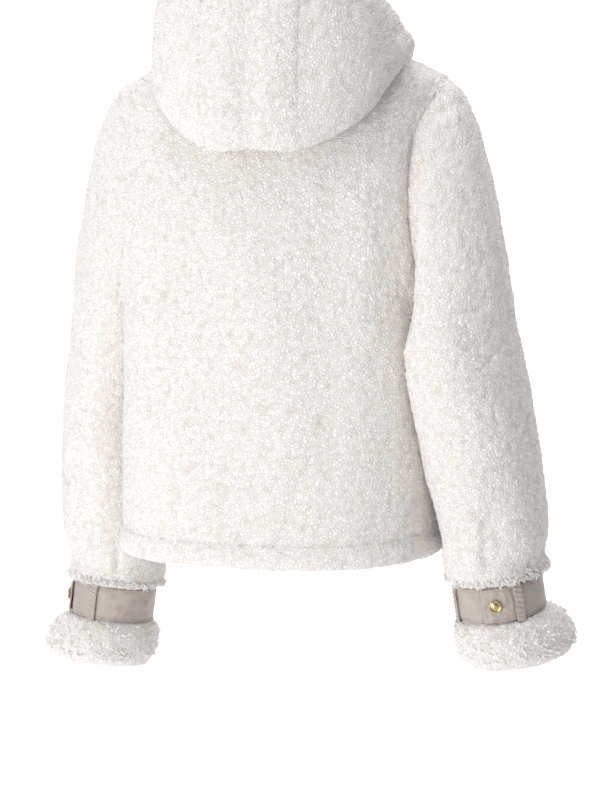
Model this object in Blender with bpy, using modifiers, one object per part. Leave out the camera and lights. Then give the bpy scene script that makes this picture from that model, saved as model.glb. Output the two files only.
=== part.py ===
"""Hip-length sherpa jacket with a three-panel hood worn down on the back.

Frame: metres, +Z up, the back faces +Y, the wearer's left is +X. The origin lies between
the shoulders, level with the highest point of the right shoulder.

Every cloth piece is a wall over a surface worked out from the tables below. A table has a
row for each section of the garment, and its first row names the columns. The outer side of
a wall is the tips of the pile.
"""

import math

import bmesh
import bpy
import numpy as np
from mathutils import Vector

# ---------------------------------------------------------------- driving dimensions
WALL = 0.008  # sherpa cloth with its pile
SEAM = 0.0003  # between two sewn pieces
LEAN = 0.035  # how much lower the wearer's left shoulder sits, as a slope across the body

HEM_BAND = 0.028  # turned-up strip at the bottom edge
HEM_RISE = 0.009  # the bent right arm draws the hem up by this much at its side
PLACKET = 0.016  # each front passes the centre line by this much
PLACKET_RAMP = 0.032  # width over which the upper front climbs onto the lower one
PLACKET_TOE = 0.002  # between the lower front's edge and the top of that ramp
PLACKET_GAP = 0.0008  # between the two fronts where they overlap
PLACKET_SLOPE = 0.16  # how much further apart, as a share, they lie where the chest slopes

HOOD_SHIFT = -0.010  # the hood hangs this far towards the wearer's right
HOOD_EDGE = 0.006  # extra thickness of the rolled face edge
HOOD_EDGE_WIDTH = 0.06  # share of a thread that the rolled edge takes up
HOOD_SEAT = 0.0012  # between the hood's neck seam and the panels
HOOD_LEAN = 0.6  # share of the shoulders' lean that the hood follows

SLEEVE_ROOM = 0.004  # between a sleeve and the body below the armhole
SLEEVE_ROOM_STEP = 0.0016  # the room grows by this much a row from the armhole
ARMPIT_SPREAD = 0.0005  # a sleeve's first ring stands off the panels by this at the armpit
ARMPIT_HEIGHT = 0.05  # and by less above it, down to nothing this far up
ARMPIT_TURN_ROWS = 4  # rows near the armpit whose seam turns downward

STRAP_WIDTH = 0.041
STRAP_THICK = 0.0025
STRAP_LAP = 56.0  # degrees by which the tab end lies over the start of the strap
STRAP_CLIMB = 16.0  # degrees over which it climbs there
STRAP_GAP = 0.0004  # between the strap and what it lies on
LOOP_WIDTH = 0.010
LOOP_THICK = 0.0016
SNAP_DIAMETER = 0.015
SNAP_HEIGHT = 0.0032
SNAP_GAP = 0.0005  # between a snap and the cloth
FRONT_SNAPS = 5
FRONT_SNAP_LEVELS = (0.05, 0.84)

# rows of faces
BODY_ROWS = 7  # hem to armpit
ARMHOLE_ROWS = 12  # armpit to shoulder tip
SHOULDER_ROWS = 4  # shoulder tip to neck
BACK_COLUMNS = 16
FRONT_COLUMNS = 6  # from the side to the placket
HEAD_ROWS = 5  # sleeve head
TUBE_ROWS = 8  # sleeve from the head to the gathered end
STRAP_STEPS = 44
WRIST_ROWS = 4  # of them the last, in the strap's waist
HOOD_ROWS = 18
GUSSET_COLUMNS = 6
HOOD_COLUMNS = 10
HEM_COLUMNS = 13  # from centre back to the placket
SNAP_STEPS = 16

# ---------------------------------------------------------------- tables
# Rings of the body. level runs from the hem seam (0) to the neck seam (1).
BODY = (
    ("level", "width", "back", "front", "square", "z_side", "z_back", "z_front"),
    (0.00, 0.194, 0.142, 0.136, 2.6, -0.552, -0.552, -0.552),
    (0.20, 0.193, 0.141, 0.134, 2.6, -0.430, -0.430, -0.430),
    (0.42, 0.190, 0.139, 0.130, 2.7, -0.285, -0.290, -0.300),
    (0.62, 0.186, 0.137, 0.124, 2.8, -0.165, -0.170, -0.205),
    (0.78, 0.186, 0.124, 0.115, 2.6, -0.074, -0.080, -0.145),
    (0.88, 0.190, 0.106, 0.107, 2.3, -0.020, -0.030, -0.115),
    (0.94, 0.136, 0.091, 0.098, 2.1, 0.006, 0.010, -0.092),
    (1.00, 0.084, 0.076, 0.086, 2.0, 0.027, 0.042, -0.070),
)
# The hem band's outside: share of its depth, and how far it bulges.
HEM_PROFILE = ((0.0, 0.0005), (0.3, 0.0030), (0.75, 0.0035), (1.0, 0.0005))
ARMPIT, TIP = 0.42, 0.88  # levels of the armhole's lowest and highest points
ARMHOLE_BACK = 30.0  # degrees that the armhole cuts into the back
ARMHOLE_FRONT = 36.0  # and into the front

# Sleeve sections. x and y are the centre, p and q the half width across X and Y, and
# rise_out and rise_back the slopes of the ring's plane.
SLEEVE_RIGHT = (
    ("row", "x", "y", "z", "p", "q", "rise_out", "rise_back"),
    (0, 0.2290, 0.060, -0.318, 0.0660, 0.080, 0.20, 0.00),
    (1, 0.2410, 0.055, -0.387, 0.0696, 0.077, 0.14, -0.03),
    (2, 0.2520, 0.045, -0.455, 0.0680, 0.072, 0.14, -0.06),
    (3, 0.2640, 0.035, -0.524, 0.0630, 0.067, 0.14, -0.08),
    (4, 0.2676, 0.030, -0.562, 0.0600, 0.062, 0.14, -0.08),
    (5, 0.2700, 0.020, -0.617, 0.0490, 0.052, 0.14, -0.08),
)
SLEEVE_LEFT = (
    ("row", "x", "y", "z", "p", "q", "rise_out", "rise_back"),
    (0, 0.2240, -0.058, -0.318, 0.0610, 0.081, 0.20, 0.00),
    (1, 0.2370, -0.073, -0.394, 0.0630, 0.078, 0.12, 0.05),
    (2, 0.2480, -0.086, -0.475, 0.0640, 0.073, 0.10, 0.08),
    (3, 0.2550, -0.096, -0.560, 0.0620, 0.068, 0.10, 0.09),
    (4, 0.2580, -0.102, -0.614, 0.0600, 0.063, 0.10, 0.09),
    (5, 0.2590, -0.110, -0.680, 0.0490, 0.052, 0.10, 0.09),
)
# Where the head's threads bend: shares of the way from the armhole to the first ring.
HEAD_BEND = np.array([0.54, 0.60, 0.0])
# Profiles round the wrist, whose ring is the sleeve's last row, in the middle of the strap:
# drop along the wrist, extra radius, and how far the centre has moved outward. The pile
# bulges over both edges of the strap.
SLEEVE_END = (
    ("row", "drop", "flare", "out"),
    (0, -0.0440, 0.0105, -0.0005),
    (1, -0.0330, 0.0100, 0.0),
    (2, -0.0250, 0.0078, 0.0),
    (3, -0.0213, 0.0002, 0.0),
    (4, -0.0004, 0.0000, 0.0),
)
CUFF = (
    ("row", "drop", "flare", "out"),
    (0, 0.0004, 0.0000, 0.000),
    (1, 0.0213, 0.0002, 0.000),
    (2, 0.0245, 0.0085, 0.002),
    (3, 0.0360, 0.0165, 0.006),
    (4, 0.0520, 0.0195, 0.010),
    (5, 0.0670, 0.0165, 0.011),
    (6, 0.0760, 0.0075, 0.010),
    (7, 0.0780, -0.0015, 0.009),
)

# Threads of the hood from its neck seam over to the face edge, for half of it. neck is the
# angle round the neck from centre back and fan the direction in which the thread lies. r is
# measured from the neck seam, z is absolute. left_fold moves the fold of the wearer's left
# side outward and down, and left_edge and left_up move its face edge outward and up.
HOOD = (
    ("row", "neck", "fan", "roll_r", "roll_z", "fold_r", "fold_z", "fold_half",
     "outer_r", "outer_z", "edge_r", "edge_z", "left_fold", "left_edge", "left_up"),
    (0, 0, 0, 0.020, 0.062, 0.080, -0.067, 0.025, 0.112, -0.002, 0.092, 0.106, 0, 0, 0.004),
    (1, 40, 2, 0.022, 0.059, 0.092, -0.067, 0.025, 0.124, -0.002, 0.104, 0.104, 0, 0, 0.004),
    (2, 62, 24, 0.022, 0.055, 0.100, -0.040, 0.022, 0.122, 0.014, 0.100, 0.094,
     -0.004, -0.002, 0.010),
    (3, 80, 42, 0.021, 0.052, 0.090, 0.002, 0.017, 0.098, 0.034, 0.067, 0.078,
     -0.014, 0.009, 0.022),
    (4, 100, 63, 0.020, 0.049, 0.064, 0.025, 0.014, 0.065, 0.042, 0.039, 0.056,
     -0.006, 0.017, 0.026),
    (5, 122, 90, 0.018, 0.033, 0.060, 0.008, 0.014, 0.068, 0.026, 0.050, 0.046,
     -0.002, 0.006, 0.012),
    (6, 146, 122, 0.016, -0.010, 0.054, -0.043, 0.012, 0.063, -0.025, 0.050, 0.000, 0, 0, 0.004),
    (7, 167, 152, 0.010, -0.050, 0.028, -0.078, 0.010, 0.038, -0.066, 0.037, -0.050, 0, 0, 0),
)
GUSSET_ROW = 1.0  # where the seams between the centre panel and the sides lie

# Soft folds that the wearer's stance draws into the body: the place across the body and the
# height of the middle, how far the place moves for each metre down, half width, half
# length, and height.
BODY_FOLDS = (
    ("x", "z", "drift", "half_width", "half_length", "height"),
    (-0.140, -0.150, 0.00, 0.020, 0.110, 0.0050),
    (-0.090, -0.240, 0.05, 0.026, 0.170, -0.0040),
    (-0.015, -0.300, -0.22, 0.034, 0.200, 0.0040),
    (0.075, -0.300, -0.05, 0.028, 0.160, -0.0045),
    (0.145, -0.260, 0.04, 0.022, 0.180, 0.0050),
)
# The same for a sleeve: angle is degrees round the sleeve from its outer side to the back,
# and drift is degrees for each metre down.
SLEEVE_FOLDS = (
    ("angle", "z", "drift", "half_width", "half_length", "height"),
    (60.0, -0.300, -260.0, 24.0, 0.060, -0.0045),
    (20.0, -0.200, 60.0, 14.0, 0.070, 0.0035),
    (120.0, -0.440, 300.0, 24.0, 0.060, -0.0045),
    (75.0, -0.530, 30.0, 16.0, 0.045, -0.0050),
    (215.0, -0.420, -280.0, 24.0, 0.070, -0.0045),
    (290.0, -0.340, 240.0, 26.0, 0.070, -0.0045),
)

# Places on the cuff straps, in degrees from the back towards the outer side, on the right
# cuff. The left cuff is its mirror image, turned further outward.
TAB_END = -9.0
SNAP_ANGLE = 7.0
LOOP_ANGLES = (36.0, -62.0)
LEFT_TURN = 72.0


# ---------------------------------------------------------------- tables and curves
def column(table, name):
    """One named column of a table."""
    place = table[0].index(name)
    return np.array([row[place] for row in table[1:]], dtype=float)


def through(knots, values, at):
    """A smooth curve through the values at the knots: a cubic between each two rows."""
    at = np.clip(at, knots[0], knots[-1])
    step = np.diff(knots)
    rise = np.diff(values) / step
    slope = np.empty(len(values))
    slope[0], slope[-1] = rise[0], rise[-1]
    slope[1:-1] = (rise[:-1] * step[1:] + rise[1:] * step[:-1]) / (step[:-1] + step[1:])
    low = np.clip(np.searchsorted(knots, at, side="right") - 1, 0, len(knots) - 2)
    h = step[low]
    t = (at - knots[low]) / h
    first = (1 + 2 * t) * (1 - t) ** 2 * values[low] + t * t * (3 - 2 * t) * values[low + 1]
    bend = t * (1 - t) ** 2 * slope[low] + t * t * (t - 1) * slope[low + 1]
    return first + h * bend


def read(table, name, at):
    """A table's column as a smooth function of its first column."""
    return through(column(table, table[0][0]), column(table, name), at)


def unit(vectors):
    """Vectors scaled to length one."""
    return vectors / np.maximum(np.linalg.norm(vectors, axis=-1, keepdims=True), 1e-12)


def signed_power(value, power):
    """The value raised to a power, with its sign kept."""
    return np.sign(value) * np.abs(value) ** power


def bump(across, along):
    """A soft mound: 1 in the middle and nearly 0 two widths or lengths away."""
    return np.exp(-across * across) * np.exp(-along * along)


# ---------------------------------------------------------------- body
def body_point(angle, level, lift=0.0):
    """The body's outside at an angle from centre back (towards the wearer's left) and a
    level. Each level is a superellipse with its own width and depths, whose height blends
    from its side to centre back or front. Folds and lift push it outward.
    """
    angle, level = np.broadcast_arrays(np.asarray(angle, float), np.asarray(level, float))
    s, c = np.sin(angle), np.cos(angle)
    c = np.where(np.abs(c) < 1e-9, 0.0, c)
    width = read(BODY, "width", level)
    depth = np.where(c > 0, read(BODY, "back", level), read(BODY, "front", level))
    power = 2.0 / read(BODY, "square", level)
    side = read(BODY, "z_side", level)
    middle = np.where(c > 0, read(BODY, "z_back", level), read(BODY, "z_front", level))
    x = width * signed_power(s, power)
    y = depth * signed_power(c, power)
    z = side + (middle - side) * c * c
    z = z - LEAN * x * np.clip((level - ARMPIT) / (TIP - ARMPIT), 0, 1)
    z = z + HEM_RISE * np.clip(-x / width, 0, 1) ** 2 * np.clip(1 - level / ARMPIT, 0, 1)
    out_x = signed_power(s, 2 - power) / width
    out_y = signed_power(c, 2 - power) / depth
    size = np.hypot(out_x, out_y)
    turn = np.where(c > 0, 1.0, -1.0)  # the front has the same folds, mirrored
    push = lift + np.zeros_like(x)
    for place, height, drift, half, length, high in BODY_FOLDS[1:]:
        across = (x * turn - place - drift * (height - z)) / half
        push = push + high * bump(across, (z - height) / length) * np.abs(c)
    return np.stack([x + push * out_x / size, y + push * out_y / size, z], axis=-1)


def body_levels():
    """The levels of the panels' rows, closer together where the armhole turns."""
    turn = np.linspace(0, math.pi, ARMHOLE_ROWS + 1)
    hole = ARMPIT + (TIP - ARMPIT) * (1 - np.cos(turn)) / 2
    below = np.linspace(0, ARMPIT, BODY_ROWS + 1)[:-1]
    above = np.linspace(TIP, 1, SHOULDER_ROWS + 1)[1:]
    return np.concatenate([below, hole, above])


def armhole_cut(degrees):
    """How far the armhole cuts into a panel at each row, in radians: half an ellipse."""
    cut = np.zeros(len(body_levels()))
    turn = np.linspace(0, math.pi, ARMHOLE_ROWS + 1)
    cut[BODY_ROWS : BODY_ROWS + ARMHOLE_ROWS + 1] = np.radians(degrees) * np.sin(turn)
    return cut


def back_grid():
    """The back panel, from its right edge to its left: both edges are the side seam, the
    armhole and the shoulder seam in turn."""
    levels = body_levels()
    reach = math.pi / 2 - armhole_cut(ARMHOLE_BACK)
    share = np.linspace(-1, 1, BACK_COLUMNS + 1)
    return body_point(share[:, None] * reach[None, :], levels[None, :])


def placket_lift(x, level):
    """How far the right front is raised: it climbs onto the left one near the centre. The
    push is level, so it is a little more where the chest slopes."""
    t = np.clip((x + PLACKET + PLACKET_RAMP + PLACKET_TOE) / PLACKET_RAMP, 0, 1)
    slope = 1 + PLACKET_SLOPE * np.clip((level - 0.6) / 0.3, 0, 1)
    return (WALL + PLACKET_GAP) * slope * t * t * (3 - 2 * t)


def angle_at(x, level):
    """The angle, from centre front towards the side, at which a ring is x off centre."""
    share = np.clip(np.abs(x) / read(BODY, "width", level), 0, 1)
    return np.sign(x) * np.arcsin(share ** (read(BODY, "square", level) / 2))


def placket_places():
    """How far from the centre line the columns of a front lie near its placket."""
    top = PLACKET + PLACKET_TOE
    return np.array([top + PLACKET_RAMP, top + PLACKET_RAMP / 2, top, 0.0, -PLACKET])


def front_grid(side):
    """A front panel, from its side edge to a little past the centre line. side is +1 for
    the wearer's left. The right one is raised where it lies over the left."""
    levels = body_levels()
    start = math.pi / 2 + armhole_cut(ARMHOLE_FRONT)
    placket = math.pi - angle_at(placket_places()[:, None], levels[None, :])
    share = np.linspace(0, 1, FRONT_COLUMNS + 1)[:-1, None]
    angle = np.concatenate([start + share * (placket[0] - start), placket], axis=0)
    flat = body_point(side * angle, levels[None, :])
    if side > 0:
        return flat
    return body_point(side * angle, levels[None, :], placket_lift(flat[..., 0], levels[None, :]))


def hem_grid():
    """The hem band: a strip all round below the panels, whose right end laps over its
    left at the front. Its profile bulges a little and turns in at the bottom."""
    placket = math.pi - angle_at(placket_places(), 0.0)
    half = np.concatenate([np.linspace(0, placket[0], HEM_COLUMNS + 1)[:-1], placket])
    angle = np.concatenate([-half[:0:-1], half])
    flat = body_point(angle, 0.0)
    lift = np.where(angle < -math.pi / 2, placket_lift(flat[..., 0], 0.0), 0.0)
    rows = []
    for drop, bulge in HEM_PROFILE:
        row = body_point(angle, 0.0, lift + bulge)
        row[:, 2] -= SEAM + drop * HEM_BAND
        rows.append(row)
    return np.stack(rows[::-1], axis=1)


# ---------------------------------------------------------------- sleeves
def ring_point(table, side, row, angle, extra=0.0):
    """A point of a sleeve's ring: an ellipse round the section's centre in a plane with
    two slopes. angle is measured from the outer side towards the back."""
    out = np.cos(angle) * (read(table, "p", row) + extra)
    back = np.sin(angle) * (read(table, "q", row) + extra)
    rise = read(table, "rise_out", row) * out + read(table, "rise_back", row) * back
    x = side * (read(table, "x", row) + out)
    return np.stack([x, read(table, "y", row) + back, read(table, "z", row) + rise], axis=-1)


def clear_of_body(points, side, room):
    """Moves sleeve points below the armhole that would enter the body out of it, along X,
    with some room: the body's section there is the ring at the point's height, and the hem
    band is a little wider."""
    levels = np.linspace(0, ARMPIT + 0.2, 80)
    heights = read(BODY, "z_side", levels)
    level = np.interp(points[..., 2], heights, levels)
    bulge = np.where(points[..., 2] < heights[0] + HEM_RISE, 0.006, 0.0)
    width = read(BODY, "width", level) + bulge
    depth = np.where(points[..., 1] > 0, read(BODY, "back", level), read(BODY, "front", level))
    share = np.clip(np.abs(points[..., 1]) / (depth + bulge), 0, 1)
    square = read(BODY, "square", level)
    edge = (width + room) * (1 - share ** square) ** (1 / square)
    edge = np.where(points[..., 2] < read(BODY, "z_side", ARMPIT) + 0.012, edge, 0)
    x = side * np.maximum(points[..., 0] * side, edge)
    return np.concatenate([x[..., None], points[..., 1:]], axis=-1)


def armhole_loop(side):
    """The armhole's points, from the armpit over the back to the shoulder tip and down the
    front, which are the panels' own edge points."""
    rows = slice(BODY_ROWS, BODY_ROWS + ARMHOLE_ROWS + 1)
    levels = body_levels()[rows]
    back = body_point(side * (math.pi / 2 - armhole_cut(ARMHOLE_BACK)[rows]), levels)
    front = body_point(side * (math.pi / 2 + armhole_cut(ARMHOLE_FRONT)[rows]), levels)
    return np.concatenate([back, front[-2:0:-1]], axis=0)


def sleeve_grid(side):
    """A sleeve, round by along. The head's threads leave the armhole level and bend down
    to the first ring as quadratic curves. Below, rings follow the table, and the gathered
    end follows its profile."""
    table = SLEEVE_LEFT if side > 0 else SLEEVE_RIGHT
    loop = armhole_loop(side)
    count = len(loop)
    angle = math.pi - 2 * math.pi * np.arange(count) / count
    first = clear_of_body(ring_point(table, side, np.zeros(count), angle), side, SLEEVE_ROOM)
    bend = loop + (first - loop) * HEAD_BEND
    head = []
    for t in np.linspace(0, 1, HEAD_ROWS + 1)[:-1]:
        head.append((1 - t) ** 2 * loop + 2 * t * (1 - t) * bend + t * t * first)
    angles, rows = np.meshgrid(angle, np.linspace(0, 4, TUBE_ROWS + 1)[:-1], indexing="ij")
    tube = ring_point(table, side, rows, angles)
    end = profile_grid(SLEEVE_END, side, angle)
    grid = np.concatenate([np.stack(head, axis=1), tube, end], axis=1)
    normal = grid_normals(grid, side, closed=True)
    degrees = np.degrees(angle)[:, None] + 0 * grid[..., 2]
    push = np.zeros(grid.shape[:2])
    for place, height, drift, half, length, high in SLEEVE_FOLDS[1:]:
        gap = degrees - place - drift * (height - grid[..., 2])
        gap = (gap + 180) % 360 - 180
        push += high * bump(gap / half, (grid[..., 2] - height) / length)
    push[:, 0] = 0
    push[:, -WRIST_ROWS:] = 0
    room = np.clip(SLEEVE_ROOM_STEP * np.arange(grid.shape[1]), 0, SLEEVE_ROOM)
    grid = clear_of_body(grid + push[..., None] * normal, side, room[None, :])
    above = (loop[:, 2] - read(BODY, "z_side", ARMPIT)) / ARMPIT_HEIGHT
    grid[:, 0, 0] += side * ARMPIT_SPREAD * np.clip(1 - above, 0, 1)
    return grid


def wrist_point(side, angle, drop, extra, out=0.0):
    """A point near the wrist: the sleeve's last ring, widened by extra, moved down along
    the wrist's axis by drop and outward by out. angle as for the sleeve's rings."""
    table = SLEEVE_LEFT if side > 0 else SLEEVE_RIGHT
    last = column(table, "row")[-1]
    angle, drop, extra, out = np.broadcast_arrays(angle, drop, extra, out)
    point = ring_point(table, side, np.full(angle.shape, last), angle, extra)
    slopes = [float(read(table, name, last)) for name in ("rise_out", "rise_back")]
    axis = unit(np.array([side * slopes[0], slopes[1], -1.0]))
    point = point + drop[..., None] * axis
    point[..., 0] += side * out
    return point


def profile_grid(table, side, angle):
    """A profile of the wrist carried round it, round by along."""
    angles, rows = np.meshgrid(angle, column(table, "row"), indexing="ij")
    values = [read(table, name, rows) for name in ("drop", "flare", "out")]
    return wrist_point(side, angles, *values)


def cuff_grid(side):
    """The flared cuff below the strap."""
    count = 2 * ARMHOLE_ROWS
    angle = math.pi - 2 * math.pi * np.arange(count) / count
    return profile_grid(CUFF, side, angle)


def strap_angle(side, degrees):
    """An angle on a cuff, from the back towards the outer side, as a ring angle."""
    turned = degrees + (LEFT_TURN if side > 0 else 0.0)
    return math.pi / 2 - np.radians(turned)


def strap_grid(side):
    """The cuff strap: once round the wrist and on, its tab end lying over its start. Its
    radius climbs by the strap's own thickness before the lap."""
    along = np.linspace(0, 360.0 + STRAP_LAP, STRAP_STEPS + 1)
    climb = np.clip((along - (360.0 - STRAP_CLIMB)) / STRAP_CLIMB, 0, 1)
    lift = STRAP_GAP + climb * climb * (3 - 2 * climb) * (STRAP_THICK + STRAP_GAP)
    angle = strap_angle(side, TAB_END + 360.0 + STRAP_LAP - along)[:, None]
    edge = np.array([[-0.5, 0.5]]) * STRAP_WIDTH
    inner = wrist_point(side, angle, edge, lift[:, None])
    outer = wrist_point(side, angle, edge, lift[:, None] + STRAP_THICK)
    return outer, inner


def strap_top(degrees):
    """The height of the strap's outside over the wrist's ring: two layers at the lap."""
    return (2 if TAB_END <= degrees <= TAB_END + STRAP_LAP else 1) * (STRAP_THICK + STRAP_GAP)


def loop_grid(side, degrees):
    """A belt loop: a narrow strip across the strap."""
    half = math.degrees(LOOP_WIDTH / 2 / column(SLEEVE_RIGHT, "q")[-1])
    across = strap_angle(side, degrees + np.array([-half, half]))[:, None]
    edge = np.array([[-0.5, -0.25, 0.25, 0.5]]) * (STRAP_WIDTH - 0.0002)
    low = strap_top(degrees) + np.array([[0.0005, 0.0009, 0.0009, 0.0005]])
    inner = wrist_point(side, across, edge, low)
    outer = wrist_point(side, across, edge, low + LOOP_THICK)
    return outer, inner


# ---------------------------------------------------------------- hood
def hood_grid(first, last, columns, side):
    """Part of the hood between two rows of its table. Each thread starts on the panels'
    neck edge, stands up, rolls over, runs down the back, folds and climbs to the face
    edge. The grid is the cloth's outer side, which faces the panels before the fold."""
    row = np.linspace(first, last, columns + 1)
    neck = side * np.radians(read(HOOD, "neck", row))
    fan = side * np.radians(read(HOOD, "fan", row))
    over = (side < 0) * (np.cos(neck) < 0)  # the right end lies on the lapped front
    lift = over * placket_lift(body_point(neck, 1.0)[..., 0], 1.0)
    seat = body_point(neck, 1.0, lift)
    down = unit(body_point(neck, body_levels()[-2], lift) - seat)
    normal = unit(np.cross(unit(np.gradient(seat, axis=0)), down))
    normal *= np.sign(np.sum(normal * (seat + [0, 0, 0.3]), axis=1, keepdims=True))
    inner_start = seat + normal * HOOD_SEAT
    outer_start = inner_start + down * WALL
    outward = np.stack([np.sin(fan), np.cos(fan), 0 * fan], axis=-1)

    left = 1.0 if side > 0 else 0.0
    value = {name: read(HOOD, name, row) for name in HOOD[0][1:]}
    half = value["fold_half"]
    fold_r = value["fold_r"] + left * value["left_fold"]
    fold_z = value["fold_z"] - left * value["left_fold"]
    outer_r = value["outer_r"] + left * value["left_fold"]
    edge_r = value["edge_r"] + left * value["left_edge"]
    edge_z = value["edge_z"] + left * value["left_up"]
    z_seat = seat[:, 2]
    stations = [
        (0.55 * value["roll_r"] + 0.004, 0.35 * z_seat + 0.65 * value["roll_z"]),
        (value["roll_r"], value["roll_z"]),
        (0.5 * (value["roll_r"] + fold_r - half) + 0.005,
         0.45 * value["roll_z"] + 0.55 * fold_z),
        (fold_r - half, fold_z),
        (fold_r, fold_z - half),
        (fold_r + half, fold_z + 0.004),
        (outer_r, value["outer_z"]),
        (0.5 * (outer_r + edge_r) + 0.004, 0.45 * value["outer_z"] + 0.55 * edge_z),
        (edge_r, edge_z),
    ]
    knots = [outer_start]
    shift = np.array([HOOD_SHIFT, 0.0, 0.0])
    for number, (r, z) in enumerate(stations):
        point = seat * [1, 1, 0] + outward * r[:, None]
        point[:, 2] = z - LEAN * HOOD_LEAN * point[:, 0]
        slide = min(1.0, max(0.0, (number - 1) / 3))
        back = np.clip((point[:, 1:2] + 0.03) / 0.08, 0, 1)
        knots.append(point + slide * back * shift)
    knots = np.stack(knots, axis=1)
    at = np.linspace(0, len(stations), HOOD_ROWS + 1)
    places = np.arange(len(stations) + 1, dtype=float)
    grid = np.empty((columns + 1, HOOD_ROWS + 1, 3))
    for thread in range(columns + 1):
        for axis in range(3):
            grid[thread, :, axis] = through(places, knots[thread, :, axis], at)
    return grid, unit(outer_start - inner_start)


def hood_walls():
    """The outer and inner grids of the hood's three pieces, by name."""
    walls = {}
    left, left_start = hood_grid(GUSSET_ROW, 7.0, HOOD_COLUMNS, 1)
    right, right_start = hood_grid(GUSSET_ROW, 7.0, HOOD_COLUMNS, -1)
    half_l, start_l = hood_grid(0.0, GUSSET_ROW, GUSSET_COLUMNS // 2, 1)
    half_r, start_r = hood_grid(0.0, GUSSET_ROW, GUSSET_COLUMNS // 2, -1)
    centre = np.concatenate([half_r[:0:-1], half_l], axis=0)
    centre_start = np.concatenate([start_r[:0:-1], start_l], axis=0)
    right, right_start = right[::-1], right_start[::-1]
    whole = np.concatenate([right[:-1], centre, left[1:]], axis=0)
    starts = np.concatenate([right_start[:-1], centre_start, left_start[1:]], axis=0)
    normal = grid_normals(whole, -1, closed=False)
    normal[:, 0] = starts
    share = np.linspace(0, 1, HOOD_ROWS + 1)
    thick = WALL + HOOD_EDGE * np.exp(-(((1 - share) / HOOD_EDGE_WIDTH) ** 2))
    inside = whole - normal * thick[None, :, None]
    cuts = {"hood_right": (0, HOOD_COLUMNS), "hood_left": (HOOD_COLUMNS + GUSSET_COLUMNS, None)}
    cuts["hood_centre"] = (HOOD_COLUMNS, HOOD_COLUMNS + GUSSET_COLUMNS)
    for name, (start, stop) in cuts.items():
        stop = len(whole) - 1 if stop is None else stop
        walls[name] = (whole[start : stop + 1].copy(), inside[start : stop + 1].copy())
    return walls


# ---------------------------------------------------------------- walls
def grid_normals(grid, turn, closed):
    """Normals of a grid, from the cross product of its two directions. closed says that
    the first direction runs all round, and turn is -1 where the grid is a mirror image."""
    if closed:
        along = np.roll(grid, -1, axis=0) - np.roll(grid, 1, axis=0)
    else:
        along = np.gradient(grid, axis=0)
    return turn * unit(np.cross(along, np.gradient(grid, axis=1)))


def pull_back(outer, inner, edges, share=0.5):
    """Draws a wall's open edges back by a share of a seam's gap, towards the next row."""
    for grid in (outer, inner):
        for edge in edges:
            here, there = {
                "start": ((0,), (1,)),
                "end": ((-1,), (-2,)),
                "low": ((slice(None), 0), (slice(None), 1)),
                "high": ((slice(None), -1), (slice(None), -2)),
            }[edge]
            grid[here] = grid[here] + unit(grid[there] - grid[here]) * SEAM * share


def wall_object(name, outer, inner, closed, cloth):
    """A closed wall between two grids: both sides and a strip along each open edge."""
    count, rows = outer.shape[:2]
    points = np.concatenate([outer.reshape(-1, 3), inner.reshape(-1, 3)])
    number = np.arange(count * rows).reshape(count, rows)
    under = number + count * rows
    if closed:
        number = np.concatenate([number, number[:1]])
        under = np.concatenate([under, under[:1]])

    def quads(a, b, c, d):
        return np.stack([a.ravel(), b.ravel(), c.ravel(), d.ravel()], axis=1)

    faces = [
        quads(number[:-1, :-1], number[1:, :-1], number[1:, 1:], number[:-1, 1:]),
        quads(under[:-1, :-1], under[:-1, 1:], under[1:, 1:], under[1:, :-1]),
        quads(number[:-1, 0], under[:-1, 0], under[1:, 0], number[1:, 0]),
        quads(number[:-1, -1], number[1:, -1], under[1:, -1], under[:-1, -1]),
    ]
    if not closed:
        faces.append(quads(number[0, :-1], number[0, 1:], under[0, 1:], under[0, :-1]))
        faces.append(quads(number[-1, :-1], under[-1, :-1], under[-1, 1:], number[-1, 1:]))
    mesh = bpy.data.meshes.new(name)
    mesh.from_pydata(points.tolist(), [], np.concatenate(faces).tolist())
    solid = bmesh.new()
    solid.from_mesh(mesh)
    bmesh.ops.triangulate(solid, faces=solid.faces[:])
    bmesh.ops.recalc_face_normals(solid, faces=solid.faces[:])
    if solid.calc_volume(signed=True) < 0:
        bmesh.ops.reverse_faces(solid, faces=solid.faces[:])
    solid.to_mesh(mesh)
    solid.free()
    mesh.shade_smooth()
    mesh.set_sharp_from_angle(angle=math.radians(50))
    mesh.materials.append(cloth)
    piece = bpy.data.objects.new(name, mesh)
    jacket.objects.link(piece)
    return piece


# ---------------------------------------------------------------- materials
def material(name, colour, roughness, metallic=0.0):
    """A Principled material with one sRGB colour."""
    linear = [((v + 0.055) / 1.055) ** 2.4 if v > 0.04045 else v / 12.92 for v in colour]
    made = bpy.data.materials.new(name)
    made.use_nodes = True
    shader = made.node_tree.nodes["Principled BSDF"]
    shader.inputs["Base Color"].default_value = (*linear, 1.0)
    shader.inputs["Roughness"].default_value = roughness
    shader.inputs["Metallic"].default_value = metallic
    return made


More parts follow.
